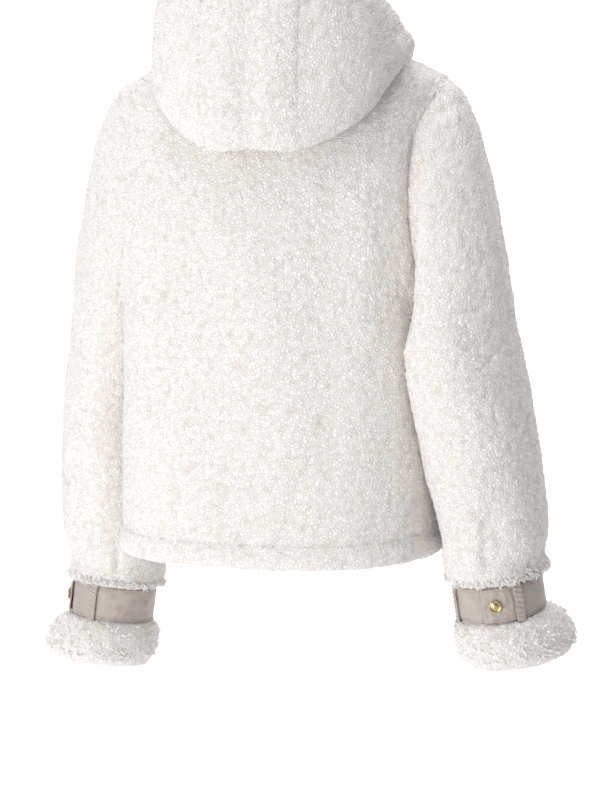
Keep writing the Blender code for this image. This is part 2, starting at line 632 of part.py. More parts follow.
# ---------------------------------------------------------------- snaps
def snap_mesh(brass):
    """A snap's cap: a turned profile with a rounded rim and a dished face, its back at
    z = 0 and its axis on Z."""
    r, h = SNAP_DIAMETER / 2, SNAP_HEIGHT
    profile = [
        (0.0, 0.62 * h),
        (0.60 * r, 0.66 * h),
        (0.78 * r, h),
        (0.93 * r, 0.92 * h),
        (r, 0.55 * h),
        (0.92 * r, 0.0),
        (0.0, 0.0),
    ]
    mesh = bpy.data.meshes.new("snap_cap")
    edges = [(i, i + 1) for i in range(len(profile) - 1)]
    mesh.from_pydata([(x, 0.0, z) for x, z in profile], edges, [])
    guide = bpy.data.objects.new("snap_cap_profile", mesh)
    jacket.objects.link(guide)
    turn = guide.modifiers.new("turn", "SCREW")
    turn.steps = SNAP_STEPS
    turn.render_steps = SNAP_STEPS
    turn.use_merge_vertices = True
    turn.merge_threshold = 0.00005
    bpy.context.view_layer.update()
    made = bpy.data.meshes.new_from_object(guide.evaluated_get(bpy.context.evaluated_depsgraph_get()))
    bpy.data.objects.remove(guide)
    cap = bmesh.new()
    cap.from_mesh(made)
    bmesh.ops.remove_doubles(cap, verts=cap.verts[:], dist=0.00002)
    bmesh.ops.recalc_face_normals(cap, faces=cap.faces[:])
    cap.to_mesh(made)
    cap.free()
    made.name = "snap_cap"
    made.shade_smooth()
    made.set_sharp_from_angle(angle=math.radians(40))
    made.materials.clear()
    made.materials.append(brass)
    return made


def place_snap(name, mesh, point, outward):
    """A snap whose back sits at a point, with its axis along the cloth's outside."""
    snap = bpy.data.objects.new(name, mesh)
    jacket.objects.link(snap)
    snap.location = Vector(point)
    snap.rotation_euler = Vector(outward).to_track_quat("Z", "Y").to_euler()
    return snap


def front_place(level):
    """A point on the raised front at the centre line, and the way that it faces."""
    lift = placket_lift(0.0, level)
    point = body_point(-math.pi, level, lift)
    side = body_point(-math.pi + 0.02, level, lift) - body_point(-math.pi - 0.02, level, lift)
    up = body_point(-math.pi, level + 0.01, lift) - body_point(-math.pi, level - 0.01, lift)
    outward = unit(np.cross(up, side))
    return point, outward * (1 if outward[1] < 0 else -1)


# ---------------------------------------------------------------- building
for old in list(bpy.data.objects):
    bpy.data.objects.remove(old, do_unlink=True)

jacket = bpy.data.collections.new("sherpa_jacket")
bpy.context.scene.collection.children.link(jacket)

sherpa = material("sherpa", (0.94, 0.93, 0.91), 0.95)
nylon = material("nylon", (0.75, 0.70, 0.67), 0.45)
brass = material("gold_plated_brass", (0.83, 0.71, 0.45), 0.25, 1.0)


def build():
    """Makes every piece."""
    panels = {"back_panel": (back_grid(), 1), "front_left": (front_grid(1), 1)}
    panels["front_right"] = (front_grid(-1), -1)
    normals = {name: grid_normals(grid, -turn, False) for name, (grid, turn) in panels.items()}
    sleeves = {side: sleeve_grid(side) for side in (1, -1)}
    sleeve_normals = {side: grid_normals(sleeves[side], side, True) for side in (1, -1)}

    # seams share one direction, so that both walls end in the same plane
    back, rows = normals["back_panel"], len(body_levels())
    hole = range(BODY_ROWS, BODY_ROWS + ARMHOLE_ROWS + 1)
    for side in (1, -1):
        front = normals["front_left" if side > 0 else "front_right"]
        edge = -1 if side > 0 else 0
        head = sleeve_normals[side]
        count = len(head)
        for row in range(rows):
            # at the armpit the two outsides face each other, and the walls meet above
            near = max(0, ARMPIT_TURN_ROWS - abs(row - hole[0])) / ARMPIT_TURN_ROWS
            fold = np.array([0.0, 0.0, -near])
            if row not in hole[1:-1]:
                shared = unit(back[edge, row] + front[0, row])
                if row in hole:
                    thread = 0 if row == hole[0] else ARMHOLE_ROWS
                    shared = unit(shared + head[thread, 0] + fold)
                    head[thread, 0] = shared
                back[edge, row] = shared
                front[0, row] = shared
            else:
                thread = row - BODY_ROWS
                shared = unit(back[edge, row] + head[thread, 0] + fold)
                back[edge, row] = shared
                head[thread, 0] = shared
                shared = unit(front[0, row] + head[count - thread, 0] + fold)
                front[0, row] = shared
                head[count - thread, 0] = shared

    for name, (grid, _) in panels.items():
        inner = grid - normals[name] * WALL
        pull_back(grid, inner, ("start", "end", "low") if name == "back_panel" else ("start", "low"))
        wall_object(name, grid, inner, False, sherpa)
    for side, word in ((1, "left"), (-1, "right")):
        grid = sleeves[side]
        inner = grid - sleeve_normals[side] * WALL
        pull_back(grid, inner, ("low",), 1.5)
        wall_object("sleeve_" + word, grid, inner, True, sherpa)
        cuff = cuff_grid(side)
        inside = cuff - grid_normals(cuff, side, True) * WALL
        wall_object("cuff_" + word, cuff, inside, True, sherpa)
        outer, inner = strap_grid(side)
        wall_object("cuff_strap_" + word, outer, inner, False, nylon)
        for number, degrees in enumerate(LOOP_ANGLES, 1):
            outer, inner = loop_grid(side, degrees)
            wall_object(f"belt_loop_{word}_{number}", outer, inner, False, nylon)

    band = hem_grid()
    inside = band - grid_normals(band, -1, False) * WALL
    wall_object("hem_band", band, inside, False, sherpa)

    for name, (outer, inner) in hood_walls().items():
        edges = {"hood_centre": ("start", "end"), "hood_left": ("start",)}
        pull_back(outer, inner, edges.get(name, ("end",)))
        wall_object(name, outer, inner, False, sherpa)

    cap = snap_mesh(brass)
    for side, word in ((1, "left"), (-1, "right")):
        angle = strap_angle(side, SNAP_ANGLE)
        seat = strap_top(SNAP_ANGLE) + SNAP_GAP
        point = wrist_point(side, angle, 0.0, seat)
        beyond = wrist_point(side, angle, 0.0, seat + 0.01)
        place_snap("cuff_snap_" + word, cap, point, beyond - point)
    levels = np.linspace(*FRONT_SNAP_LEVELS, FRONT_SNAPS)
    for number, level in enumerate(levels, 1):
        point, outward = front_place(level)
        place_snap(f"front_snap_{number}", cap, point + SNAP_GAP * outward, outward)


build()
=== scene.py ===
"""Looks of a hip-length sherpa jacket with a hood worn down on the back.

Every cloth surface is a function of two parameters on a grid. The tables and functions of
the first half give the same coarse grids as the solids. refine() runs a smooth curve
through each row and column of such a grid at a few millimetres' spacing, and the pile is
    point + normal * (curls + clumps + creases - seam * exp(-(distance to the seam / 4 mm)^2))
where curls is a dome over each of a set of scattered points (1 - d^2, d the distance to the
nearest one), and clumps a smooth noise. Below the pile lies a closed wall of backing cloth.
Locks and fibres that stand out of the pile are joined meshes of curved, pointed strips.
Metres, +Z up, the back faces +Y, the jacket's left sleeve is at +X.
"""

import math

import bpy
import numpy as np
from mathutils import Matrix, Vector


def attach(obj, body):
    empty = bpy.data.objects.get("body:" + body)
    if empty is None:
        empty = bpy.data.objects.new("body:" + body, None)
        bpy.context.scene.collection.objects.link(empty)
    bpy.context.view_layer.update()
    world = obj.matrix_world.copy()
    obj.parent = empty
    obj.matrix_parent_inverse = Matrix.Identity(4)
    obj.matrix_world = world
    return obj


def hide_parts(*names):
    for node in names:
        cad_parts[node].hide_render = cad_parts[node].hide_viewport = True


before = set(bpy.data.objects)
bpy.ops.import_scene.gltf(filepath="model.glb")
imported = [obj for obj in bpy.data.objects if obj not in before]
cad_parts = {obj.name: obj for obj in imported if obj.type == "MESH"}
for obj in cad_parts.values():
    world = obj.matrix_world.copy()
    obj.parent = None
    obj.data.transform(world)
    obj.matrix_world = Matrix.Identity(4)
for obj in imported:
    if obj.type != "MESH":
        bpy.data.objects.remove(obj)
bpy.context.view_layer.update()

# ---------------------------------------------------------------- driving dimensions
WALL = 0.008  # sherpa cloth with its pile
SEAM = 0.0003  # between two sewn pieces
LEAN = 0.035  # how much lower the left shoulder sits, as a slope across the body

HEM_BAND = 0.028  # turned-up strip at the bottom edge
HEM_RISE = 0.009  # the bent right sleeve draws the hem up by this much at its side
PLACKET = 0.016  # each front passes the centre line by this much
PLACKET_RAMP = 0.032  # width over which the upper front climbs onto the lower one
PLACKET_TOE = 0.002  # between the lower front's edge and the top of that ramp
PLACKET_GAP = 0.0008  # between the two fronts where they overlap
PLACKET_SLOPE = 0.16  # how much further apart, as a share, they lie where the chest slopes

HOOD_SHIFT = -0.010  # the hood hangs this far towards the right
HOOD_EDGE = 0.006  # extra thickness of the rolled face edge
HOOD_EDGE_WIDTH = 0.06  # share of a thread that the rolled edge takes up
HOOD_SEAT = 0.0012  # between the hood's neck seam and the panels
HOOD_LEAN = 0.6  # share of the shoulders' lean that the hood follows

SLEEVE_ROOM = 0.004  # between a sleeve and the body below the armhole
SLEEVE_ROOM_STEP = 0.0016  # the room grows by this much a row from the armhole
ARMPIT_SPREAD = 0.0005  # a sleeve's first ring stands off the panels by this at the armpit
ARMPIT_HEIGHT = 0.05  # and by less above it, down to nothing this far up

STRAP_WIDTH = 0.041
STRAP_THICK = 0.0025
STRAP_LAP = 56.0  # degrees by which the tab end lies over the start of the strap
STRAP_CLIMB = 16.0  # degrees over which it climbs there
STRAP_GAP = 0.0004  # between the strap and what it lies on
LOOP_WIDTH = 0.010
LOOP_THICK = 0.0016
SNAP_DIAMETER = 0.015
SNAP_HEIGHT = 0.0032
SNAP_GAP = 0.0005  # between a snap and the cloth
FRONT_SNAPS = 5
FRONT_SNAP_LEVELS = (0.05, 0.84)

# rows of faces
BODY_ROWS = 7  # hem to armpit
ARMHOLE_ROWS = 12  # armpit to shoulder tip
SHOULDER_ROWS = 4  # shoulder tip to neck
BACK_COLUMNS = 16
FRONT_COLUMNS = 6  # from the side to the placket
HEAD_ROWS = 5  # sleeve head
TUBE_ROWS = 8  # sleeve from the head to the gathered end
WRIST_ROWS = 4  # of them the last, in the strap's waist
HOOD_ROWS = 18
GUSSET_COLUMNS = 6
HOOD_COLUMNS = 10
HEM_COLUMNS = 13  # from centre back to the placket

# ---------------------------------------------------------------- tables
# Rings of the body. level runs from the hem seam (0) to the neck seam (1).
BODY = (
    ("level", "width", "back", "front", "square", "z_side", "z_back", "z_front"),
    (0.00, 0.194, 0.142, 0.136, 2.6, -0.552, -0.552, -0.552),
    (0.20, 0.193, 0.141, 0.134, 2.6, -0.430, -0.430, -0.430),
    (0.42, 0.190, 0.139, 0.130, 2.7, -0.285, -0.290, -0.300),
    (0.62, 0.186, 0.137, 0.124, 2.8, -0.165, -0.170, -0.205),
    (0.78, 0.186, 0.124, 0.115, 2.6, -0.074, -0.080, -0.145),
    (0.88, 0.190, 0.106, 0.107, 2.3, -0.020, -0.030, -0.115),
    (0.94, 0.136, 0.091, 0.098, 2.1, 0.006, 0.010, -0.092),
    (1.00, 0.084, 0.076, 0.086, 2.0, 0.027, 0.042, -0.070),
)
# The hem band's outside: share of its depth, and how far it bulges.
HEM_PROFILE = ((0.0, 0.0005), (0.3, 0.0030), (0.75, 0.0035), (1.0, 0.0005))
ARMPIT, TIP = 0.42, 0.88  # levels of the armhole's lowest and highest points
ARMHOLE_BACK = 30.0  # degrees that the armhole cuts into the back
ARMHOLE_FRONT = 36.0  # and into the front

# Sleeve sections. x and y are the centre, p and q the half width across X and Y, and
# rise_out and rise_back the slopes of the ring's plane.
SLEEVE_RIGHT = (
    ("row", "x", "y", "z", "p", "q", "rise_out", "rise_back"),
    (0, 0.2290, 0.060, -0.318, 0.0660, 0.080, 0.20, 0.00),
    (1, 0.2410, 0.055, -0.387, 0.0696, 0.077, 0.14, -0.03),
    (2, 0.2520, 0.045, -0.455, 0.0680, 0.072, 0.14, -0.06),
    (3, 0.2640, 0.035, -0.524, 0.0630, 0.067, 0.14, -0.08),
    (4, 0.2676, 0.030, -0.562, 0.0600, 0.062, 0.14, -0.08),
    (5, 0.2700, 0.020, -0.617, 0.0490, 0.052, 0.14, -0.08),
)
SLEEVE_LEFT = (
    ("row", "x", "y", "z", "p", "q", "rise_out", "rise_back"),
    (0, 0.2240, -0.058, -0.318, 0.0610, 0.081, 0.20, 0.00),
    (1, 0.2370, -0.073, -0.394, 0.0630, 0.078, 0.12, 0.05),
    (2, 0.2480, -0.086, -0.475, 0.0640, 0.073, 0.10, 0.08),
    (3, 0.2550, -0.096, -0.560, 0.0620, 0.068, 0.10, 0.09),
    (4, 0.2580, -0.102, -0.614, 0.0600, 0.063, 0.10, 0.09),
    (5, 0.2590, -0.110, -0.680, 0.0490, 0.052, 0.10, 0.09),
)
SLEEVES = {1: SLEEVE_LEFT, -1: SLEEVE_RIGHT}
SIDES = ((1, "left"), (-1, "right"))
WRIST_RADIUS = 0.052  # of the sleeve's last ring, front to back
# Where the head's threads bend: shares of the way from the armhole to the first ring.
HEAD_BEND = np.array([0.54, 0.60, 0.0])
# Profiles round the wrist, whose ring is the sleeve's last row, in the middle of the strap:
# drop along the wrist, extra radius, and how far the centre has moved outward. The pile
# bulges over both edges of the strap.
SLEEVE_END = (
    ("row", "drop", "flare", "out"),
    (0, -0.0440, 0.0105, -0.0005),
    (1, -0.0330, 0.0100, 0.0),
    (2, -0.0250, 0.0078, 0.0),
    (3, -0.0213, 0.0002, 0.0),
    (4, -0.0004, 0.0000, 0.0),
)
CUFF = (
    ("row", "drop", "flare", "out"),
    (0, 0.0004, 0.0000, 0.000),
    (1, 0.0213, 0.0002, 0.000),
    (2, 0.0245, 0.0085, 0.002),
    (3, 0.0360, 0.0165, 0.006),
    (4, 0.0520, 0.0195, 0.010),
    (5, 0.0670, 0.0165, 0.011),
    (6, 0.0760, 0.0075, 0.010),
    (7, 0.0780, -0.0015, 0.009),
)

# Threads of the hood from its neck seam over to the face edge, for half of it. neck is the
# angle round the neck from centre back and fan the direction in which the thread lies. r is
# measured from the neck seam, z is absolute. left_fold moves the fold of the left
# side outward and down, and left_edge and left_up move its face edge outward and up.
HOOD = (
    ("row", "neck", "fan", "roll_r", "roll_z", "fold_r", "fold_z", "fold_half",
     "outer_r", "outer_z", "edge_r", "edge_z", "left_fold", "left_edge", "left_up"),
    (0, 0, 0, 0.020, 0.062, 0.080, -0.067, 0.025, 0.112, -0.002, 0.092, 0.106, 0, 0, 0.004),
    (1, 40, 2, 0.022, 0.059, 0.092, -0.067, 0.025, 0.124, -0.002, 0.104, 0.104, 0, 0, 0.004),
    (2, 62, 24, 0.022, 0.055, 0.100, -0.040, 0.022, 0.122, 0.014, 0.100, 0.094,
     -0.004, -0.002, 0.010),
    (3, 80, 42, 0.021, 0.052, 0.090, 0.002, 0.017, 0.098, 0.034, 0.067, 0.078,
     -0.014, 0.009, 0.022),
    (4, 100, 63, 0.020, 0.049, 0.064, 0.025, 0.014, 0.065, 0.042, 0.039, 0.056,
     -0.006, 0.017, 0.026),
    (5, 122, 90, 0.018, 0.033, 0.060, 0.008, 0.014, 0.068, 0.026, 0.050, 0.046,
     -0.002, 0.006, 0.012),
    (6, 146, 122, 0.016, -0.010, 0.054, -0.043, 0.012, 0.063, -0.025, 0.050, 0.000, 0, 0, 0.004),
    (7, 167, 152, 0.010, -0.050, 0.028, -0.078, 0.010, 0.038, -0.066, 0.037, -0.050, 0, 0, 0),
)
GUSSET_ROW = 1.0  # where the seams between the centre panel and the sides lie

# Soft folds in the body, as it hangs: the place across the body and the
# height of the middle, how far the place moves for each metre down, half width, half
# length, and height.
BODY_FOLDS = (
    ("x", "z", "drift", "half_width", "half_length", "height"),
    (-0.140, -0.150, 0.00, 0.020, 0.110, 0.0050),
    (-0.090, -0.240, 0.05, 0.026, 0.170, -0.0040),
    (-0.015, -0.300, -0.22, 0.034, 0.200, 0.0040),
    (0.075, -0.300, -0.05, 0.028, 0.160, -0.0045),
    (0.145, -0.260, 0.04, 0.022, 0.180, 0.0050),
)
# The same for a sleeve: angle is degrees round the sleeve from its outer side to the back,
# and drift is degrees for each metre down.
SLEEVE_FOLDS = (
    ("angle", "z", "drift", "half_width", "half_length", "height"),
    (60.0, -0.300, -260.0, 24.0, 0.060, -0.0045),
    (20.0, -0.200, 60.0, 14.0, 0.070, 0.0035),
    (120.0, -0.440, 300.0, 24.0, 0.060, -0.0045),
    (75.0, -0.530, 30.0, 16.0, 0.045, -0.0050),
    (215.0, -0.420, -280.0, 24.0, 0.070, -0.0045),
    (290.0, -0.340, 240.0, 26.0, 0.070, -0.0045),
)

# Places on the cuff straps, in degrees from the back towards the outer side, on the right
# cuff. The left cuff is its mirror image, turned further outward.
TAB_END = -9.0
SNAP_ANGLE = 7.0
LOOP_ANGLES = (36.0, -62.0)
LEFT_TURN = 72.0


# ---------------------------------------------------------------- tables and curves
def column(table, name):
    """One named column of a table."""
    place = table[0].index(name)
    return np.array([row[place] for row in table[1:]], dtype=float)


def through(knots, values, at):
    """A smooth curve through the values at the knots: a cubic between each two rows."""
    at = np.clip(at, knots[0], knots[-1])
    tail = (1,) * (values.ndim - 1)
    step = np.diff(knots).reshape(-1, *tail)
    rise = np.diff(values, axis=0) / step
    slope = np.empty_like(values)
    slope[0], slope[-1] = rise[0], rise[-1]
    slope[1:-1] = (rise[:-1] * step[1:] + rise[1:] * step[:-1]) / (step[:-1] + step[1:])
    low = np.clip(np.searchsorted(knots, at, side="right") - 1, 0, len(knots) - 2)
    h = step[low]
    t = (at - knots[low]).reshape(np.shape(at) + tail) / h
    first = (1 + 2 * t) * (1 - t) ** 2 * values[low] + t * t * (3 - 2 * t) * values[low + 1]
    bend = t * (1 - t) ** 2 * slope[low] + t * t * (t - 1) * slope[low + 1]
    return first + h * bend


def read(table, name, at):
    """A table's column as a smooth function of its first column."""
    return through(column(table, table[0][0]), column(table, name), at)


def unit(vectors):
    """Vectors scaled to length one."""
    return vectors / np.maximum(np.linalg.norm(vectors, axis=-1, keepdims=True), 1e-12)


def signed_power(value, power):
    """The value raised to a power, with its sign kept."""
    return np.sign(value) * np.abs(value) ** power


def bump(across, along):
    """A soft mound: 1 in the middle and nearly 0 two widths or lengths away."""
    return np.exp(-across * across) * np.exp(-along * along)


# ---------------------------------------------------------------- body
def body_point(angle, level, lift=0.0):
    """The body's outside at an angle from centre back (towards the left) and a
    level. Each level is a superellipse with its own width and depths, whose height blends
    from its side to centre back or front. Folds and lift push it outward.
    """
    angle, level = np.broadcast_arrays(np.asarray(angle, float), np.asarray(level, float))
    s, c = np.sin(angle), np.cos(angle)
    c = np.where(np.abs(c) < 1e-9, 0.0, c)
    width = read(BODY, "width", level)
    depth = np.where(c > 0, read(BODY, "back", level), read(BODY, "front", level))
    power = 2.0 / read(BODY, "square", level)
    side = read(BODY, "z_side", level)
    middle = np.where(c > 0, read(BODY, "z_back", level), read(BODY, "z_front", level))
    x = width * signed_power(s, power)
    y = depth * signed_power(c, power)
    z = side + (middle - side) * c * c
    z = z - LEAN * x * np.clip((level - ARMPIT) / (TIP - ARMPIT), 0, 1)
    z = z + HEM_RISE * np.clip(-x / width, 0, 1) ** 2 * np.clip(1 - level / ARMPIT, 0, 1)
    out_x = signed_power(s, 2 - power) / width
    out_y = signed_power(c, 2 - power) / depth
    size = np.hypot(out_x, out_y)
    turn = np.where(c > 0, 1.0, -1.0)  # the front has the same folds, mirrored
    push = lift + np.zeros_like(x)
    for place, height, drift, half, length, high in BODY_FOLDS[1:]:
        across = (x * turn - place - drift * (height - z)) / half
        push = push + high * bump(across, (z - height) / length) * np.abs(c)
    return np.stack([x + push * out_x / size, y + push * out_y / size, z], axis=-1)


def body_levels():
    """The levels of the panels' rows, closer together where the armhole turns."""
    turn = np.linspace(0, math.pi, ARMHOLE_ROWS + 1)
    hole = ARMPIT + (TIP - ARMPIT) * (1 - np.cos(turn)) / 2
    below = np.linspace(0, ARMPIT, BODY_ROWS + 1)[:-1]
    above = np.linspace(TIP, 1, SHOULDER_ROWS + 1)[1:]
    return np.concatenate([below, hole, above])


def armhole_cut(degrees):
    """How far the armhole cuts into a panel at each row, in radians: half an ellipse."""
    cut = np.zeros(len(body_levels()))
    turn = np.linspace(0, math.pi, ARMHOLE_ROWS + 1)
    cut[BODY_ROWS : BODY_ROWS + ARMHOLE_ROWS + 1] = np.radians(degrees) * np.sin(turn)
    return cut


def back_grid():
    """The back panel, from its right edge to its left: both edges are the side seam, the
    armhole and the shoulder seam in turn."""
    levels = body_levels()
    reach = math.pi / 2 - armhole_cut(ARMHOLE_BACK)
    share = np.linspace(-1, 1, BACK_COLUMNS + 1)
    return body_point(share[:, None] * reach[None, :], levels[None, :])


def placket_lift(x, level):
    """How far the right front is raised: it climbs onto the left one near the centre. The
    push is level, so it is a little more where the chest slopes."""
    t = np.clip((x + PLACKET + PLACKET_RAMP + PLACKET_TOE) / PLACKET_RAMP, 0, 1)
    slope = 1 + PLACKET_SLOPE * np.clip((level - 0.6) / 0.3, 0, 1)
    return (WALL + PLACKET_GAP) * slope * t * t * (3 - 2 * t)


def angle_at(x, level):
    """The angle, from centre front towards the side, at which a ring is x off centre."""
    share = np.clip(np.abs(x) / read(BODY, "width", level), 0, 1)
    return np.sign(x) * np.arcsin(share ** (read(BODY, "square", level) / 2))


def placket_places():
    """How far from the centre line the columns of a front lie near its placket."""
    top = PLACKET + PLACKET_TOE
    return np.array([top + PLACKET_RAMP, top + PLACKET_RAMP / 2, top, 0.0, -PLACKET])


def front_grid(side):
    """A front panel, from its side edge to a little past the centre line. side is +1 for
    the left one. The right one is raised where it lies over the left."""
    levels = body_levels()
    start = math.pi / 2 + armhole_cut(ARMHOLE_FRONT)
    placket = math.pi - angle_at(placket_places()[:, None], levels[None, :])
    share = np.linspace(0, 1, FRONT_COLUMNS + 1)[:-1, None]
    angle = np.concatenate([start + share * (placket[0] - start), placket], axis=0)
    flat = body_point(side * angle, levels[None, :])
    if side > 0:
        return flat
    return body_point(side * angle, levels[None, :], placket_lift(flat[..., 0], levels[None, :]))


def hem_grid():
    """The hem band: a strip all round below the panels, whose right end laps over its
    left at the front. Its profile bulges a little and turns in at the bottom."""
    placket = math.pi - angle_at(placket_places(), 0.0)
    half = np.concatenate([np.linspace(0, placket[0], HEM_COLUMNS + 1)[:-1], placket])
    angle = np.concatenate([-half[:0:-1], half])
    flat = body_point(angle, 0.0)
    lift = np.where(angle < -math.pi / 2, placket_lift(flat[..., 0], 0.0), 0.0)
    rows = []
    for drop, bulge in HEM_PROFILE:
        row = body_point(angle, 0.0, lift + bulge)
        row[:, 2] -= SEAM + drop * HEM_BAND
        rows.append(row)
    return np.stack(rows[::-1], axis=1)


# ---------------------------------------------------------------- sleeves
def ring_point(table, side, row, angle, extra=0.0):
    """A point of a sleeve's ring: an ellipse round the section's centre in a plane with
    two slopes. angle is measured from the outer side towards the back."""
    out = np.cos(angle) * (read(table, "p", row) + extra)
    back = np.sin(angle) * (read(table, "q", row) + extra)
    rise = read(table, "rise_out", row) * out + read(table, "rise_back", row) * back
    x = side * (read(table, "x", row) + out)
    return np.stack([x, read(table, "y", row) + back, read(table, "z", row) + rise], axis=-1)


def clear_of_body(points, side, room):
    """Moves sleeve points below the armhole that would enter the body out of it, along X,
    with some room: the body's section there is the ring at the point's height, and the hem
    band is a little wider."""
    levels = np.linspace(0, ARMPIT + 0.2, 80)
    heights = read(BODY, "z_side", levels)
    level = np.interp(points[..., 2], heights, levels)
    bulge = np.where(points[..., 2] < heights[0] + HEM_RISE, 0.006, 0.0)
    width = read(BODY, "width", level) + bulge
    depth = np.where(points[..., 1] > 0, read(BODY, "back", level), read(BODY, "front", level))
    share = np.clip(np.abs(points[..., 1]) / (depth + bulge), 0, 1)
    square = read(BODY, "square", level)
    edge = (width + room) * (1 - share ** square) ** (1 / square)
    edge = np.where(points[..., 2] < read(BODY, "z_side", ARMPIT) + 0.012, edge, 0)
    x = side * np.maximum(points[..., 0] * side, edge)
    return np.concatenate([x[..., None], points[..., 1:]], axis=-1)


def armhole_loop(side):
    """The armhole's points, from the armpit over the back to the shoulder tip and down the
    front, which are the panels' own edge points."""
    rows = slice(BODY_ROWS, BODY_ROWS + ARMHOLE_ROWS + 1)
    levels = body_levels()[rows]
    back = body_point(side * (math.pi / 2 - armhole_cut(ARMHOLE_BACK)[rows]), levels)
    front = body_point(side * (math.pi / 2 + armhole_cut(ARMHOLE_FRONT)[rows]), levels)
    return np.concatenate([back, front[-2:0:-1]], axis=0)


def sleeve_grid(side):
    """A sleeve, round by along. The head's threads leave the armhole level and bend down
    to the first ring as quadratic curves. Below, rings follow the table, and the gathered
    end follows its profile."""
    table = SLEEVES[side]
    loop = armhole_loop(side)
    count = len(loop)
    angle = math.pi - 2 * math.pi * np.arange(count) / count
    first = clear_of_body(ring_point(table, side, np.zeros(count), angle), side, SLEEVE_ROOM)
    bend = loop + (first - loop) * HEAD_BEND
    head = []
    for t in np.linspace(0, 1, HEAD_ROWS + 1)[:-1]:
        head.append((1 - t) ** 2 * loop + 2 * t * (1 - t) * bend + t * t * first)
    angles, rows = np.meshgrid(angle, np.linspace(0, 4, TUBE_ROWS + 1)[:-1], indexing="ij")
    tube = ring_point(table, side, rows, angles)
    end = profile_grid(SLEEVE_END, side, angle)
    grid = np.concatenate([np.stack(head, axis=1), tube, end], axis=1)
    normal = grid_normals(grid, side, closed=True)
    degrees = np.degrees(angle)[:, None] + 0 * grid[..., 2]
    push = np.zeros(grid.shape[:2])
    for place, height, drift, half, length, high in SLEEVE_FOLDS[1:]:
        gap = degrees - place - drift * (height - grid[..., 2])
        gap = (gap + 180) % 360 - 180
        push += high * bump(gap / half, (grid[..., 2] - height) / length)
    push[:, 0] = 0
    push[:, -WRIST_ROWS:] = 0
    room = np.clip(SLEEVE_ROOM_STEP * np.arange(grid.shape[1]), 0, SLEEVE_ROOM)
    grid = clear_of_body(grid + push[..., None] * normal, side, room[None, :])
    above = (loop[:, 2] - read(BODY, "z_side", ARMPIT)) / ARMPIT_HEIGHT
    grid[:, 0, 0] += side * ARMPIT_SPREAD * np.clip(1 - above, 0, 1)
    return grid


def wrist(side):
    """The centre of a sleeve's last ring and its axis, which runs down along the wrist."""
    x, y, z, out, back = (column(SLEEVES[side], name)[-1]
                          for name in ("x", "y", "z", "rise_out", "rise_back"))
    return np.array([side * x, y, z]), unit(np.array([side * out, back, -1.0]))


def wrist_point(side, angle, drop, extra, out=0.0):
    """A point near the wrist: the sleeve's last ring, widened by extra, moved down along
    the wrist's axis by drop and outward by out. angle as for the sleeve's rings."""
    angle, drop, extra, out = np.broadcast_arrays(angle, drop, extra, out)
    last = np.full(angle.shape, column(SLEEVES[side], "row")[-1])
    point = ring_point(SLEEVES[side], side, last, angle, extra) + drop[..., None] * wrist(side)[1]
    point[..., 0] += side * out
    return point


def profile_grid(table, side, angle):
    """A profile of the wrist carried round it, round by along."""
    angles, rows = np.meshgrid(angle, column(table, "row"), indexing="ij")
    values = [read(table, name, rows) for name in ("drop", "flare", "out")]
    return wrist_point(side, angles, *values)


def cuff_grid(side):
    """The flared cuff below the strap."""
    count = 2 * ARMHOLE_ROWS
    angle = math.pi - 2 * math.pi * np.arange(count) / count
    return profile_grid(CUFF, side, angle)


def strap_angle(side, degrees):
    """An angle on a cuff, from the back towards the outer side, as a ring angle."""
    turned = degrees + (LEFT_TURN if side > 0 else 0.0)
    return math.pi / 2 - np.radians(turned)


def strap_top(degrees):
    """The height of the strap's outside over the wrist's ring: two layers at the lap."""
    return (2 if TAB_END <= degrees <= TAB_END + STRAP_LAP else 1) * (STRAP_THICK + STRAP_GAP)


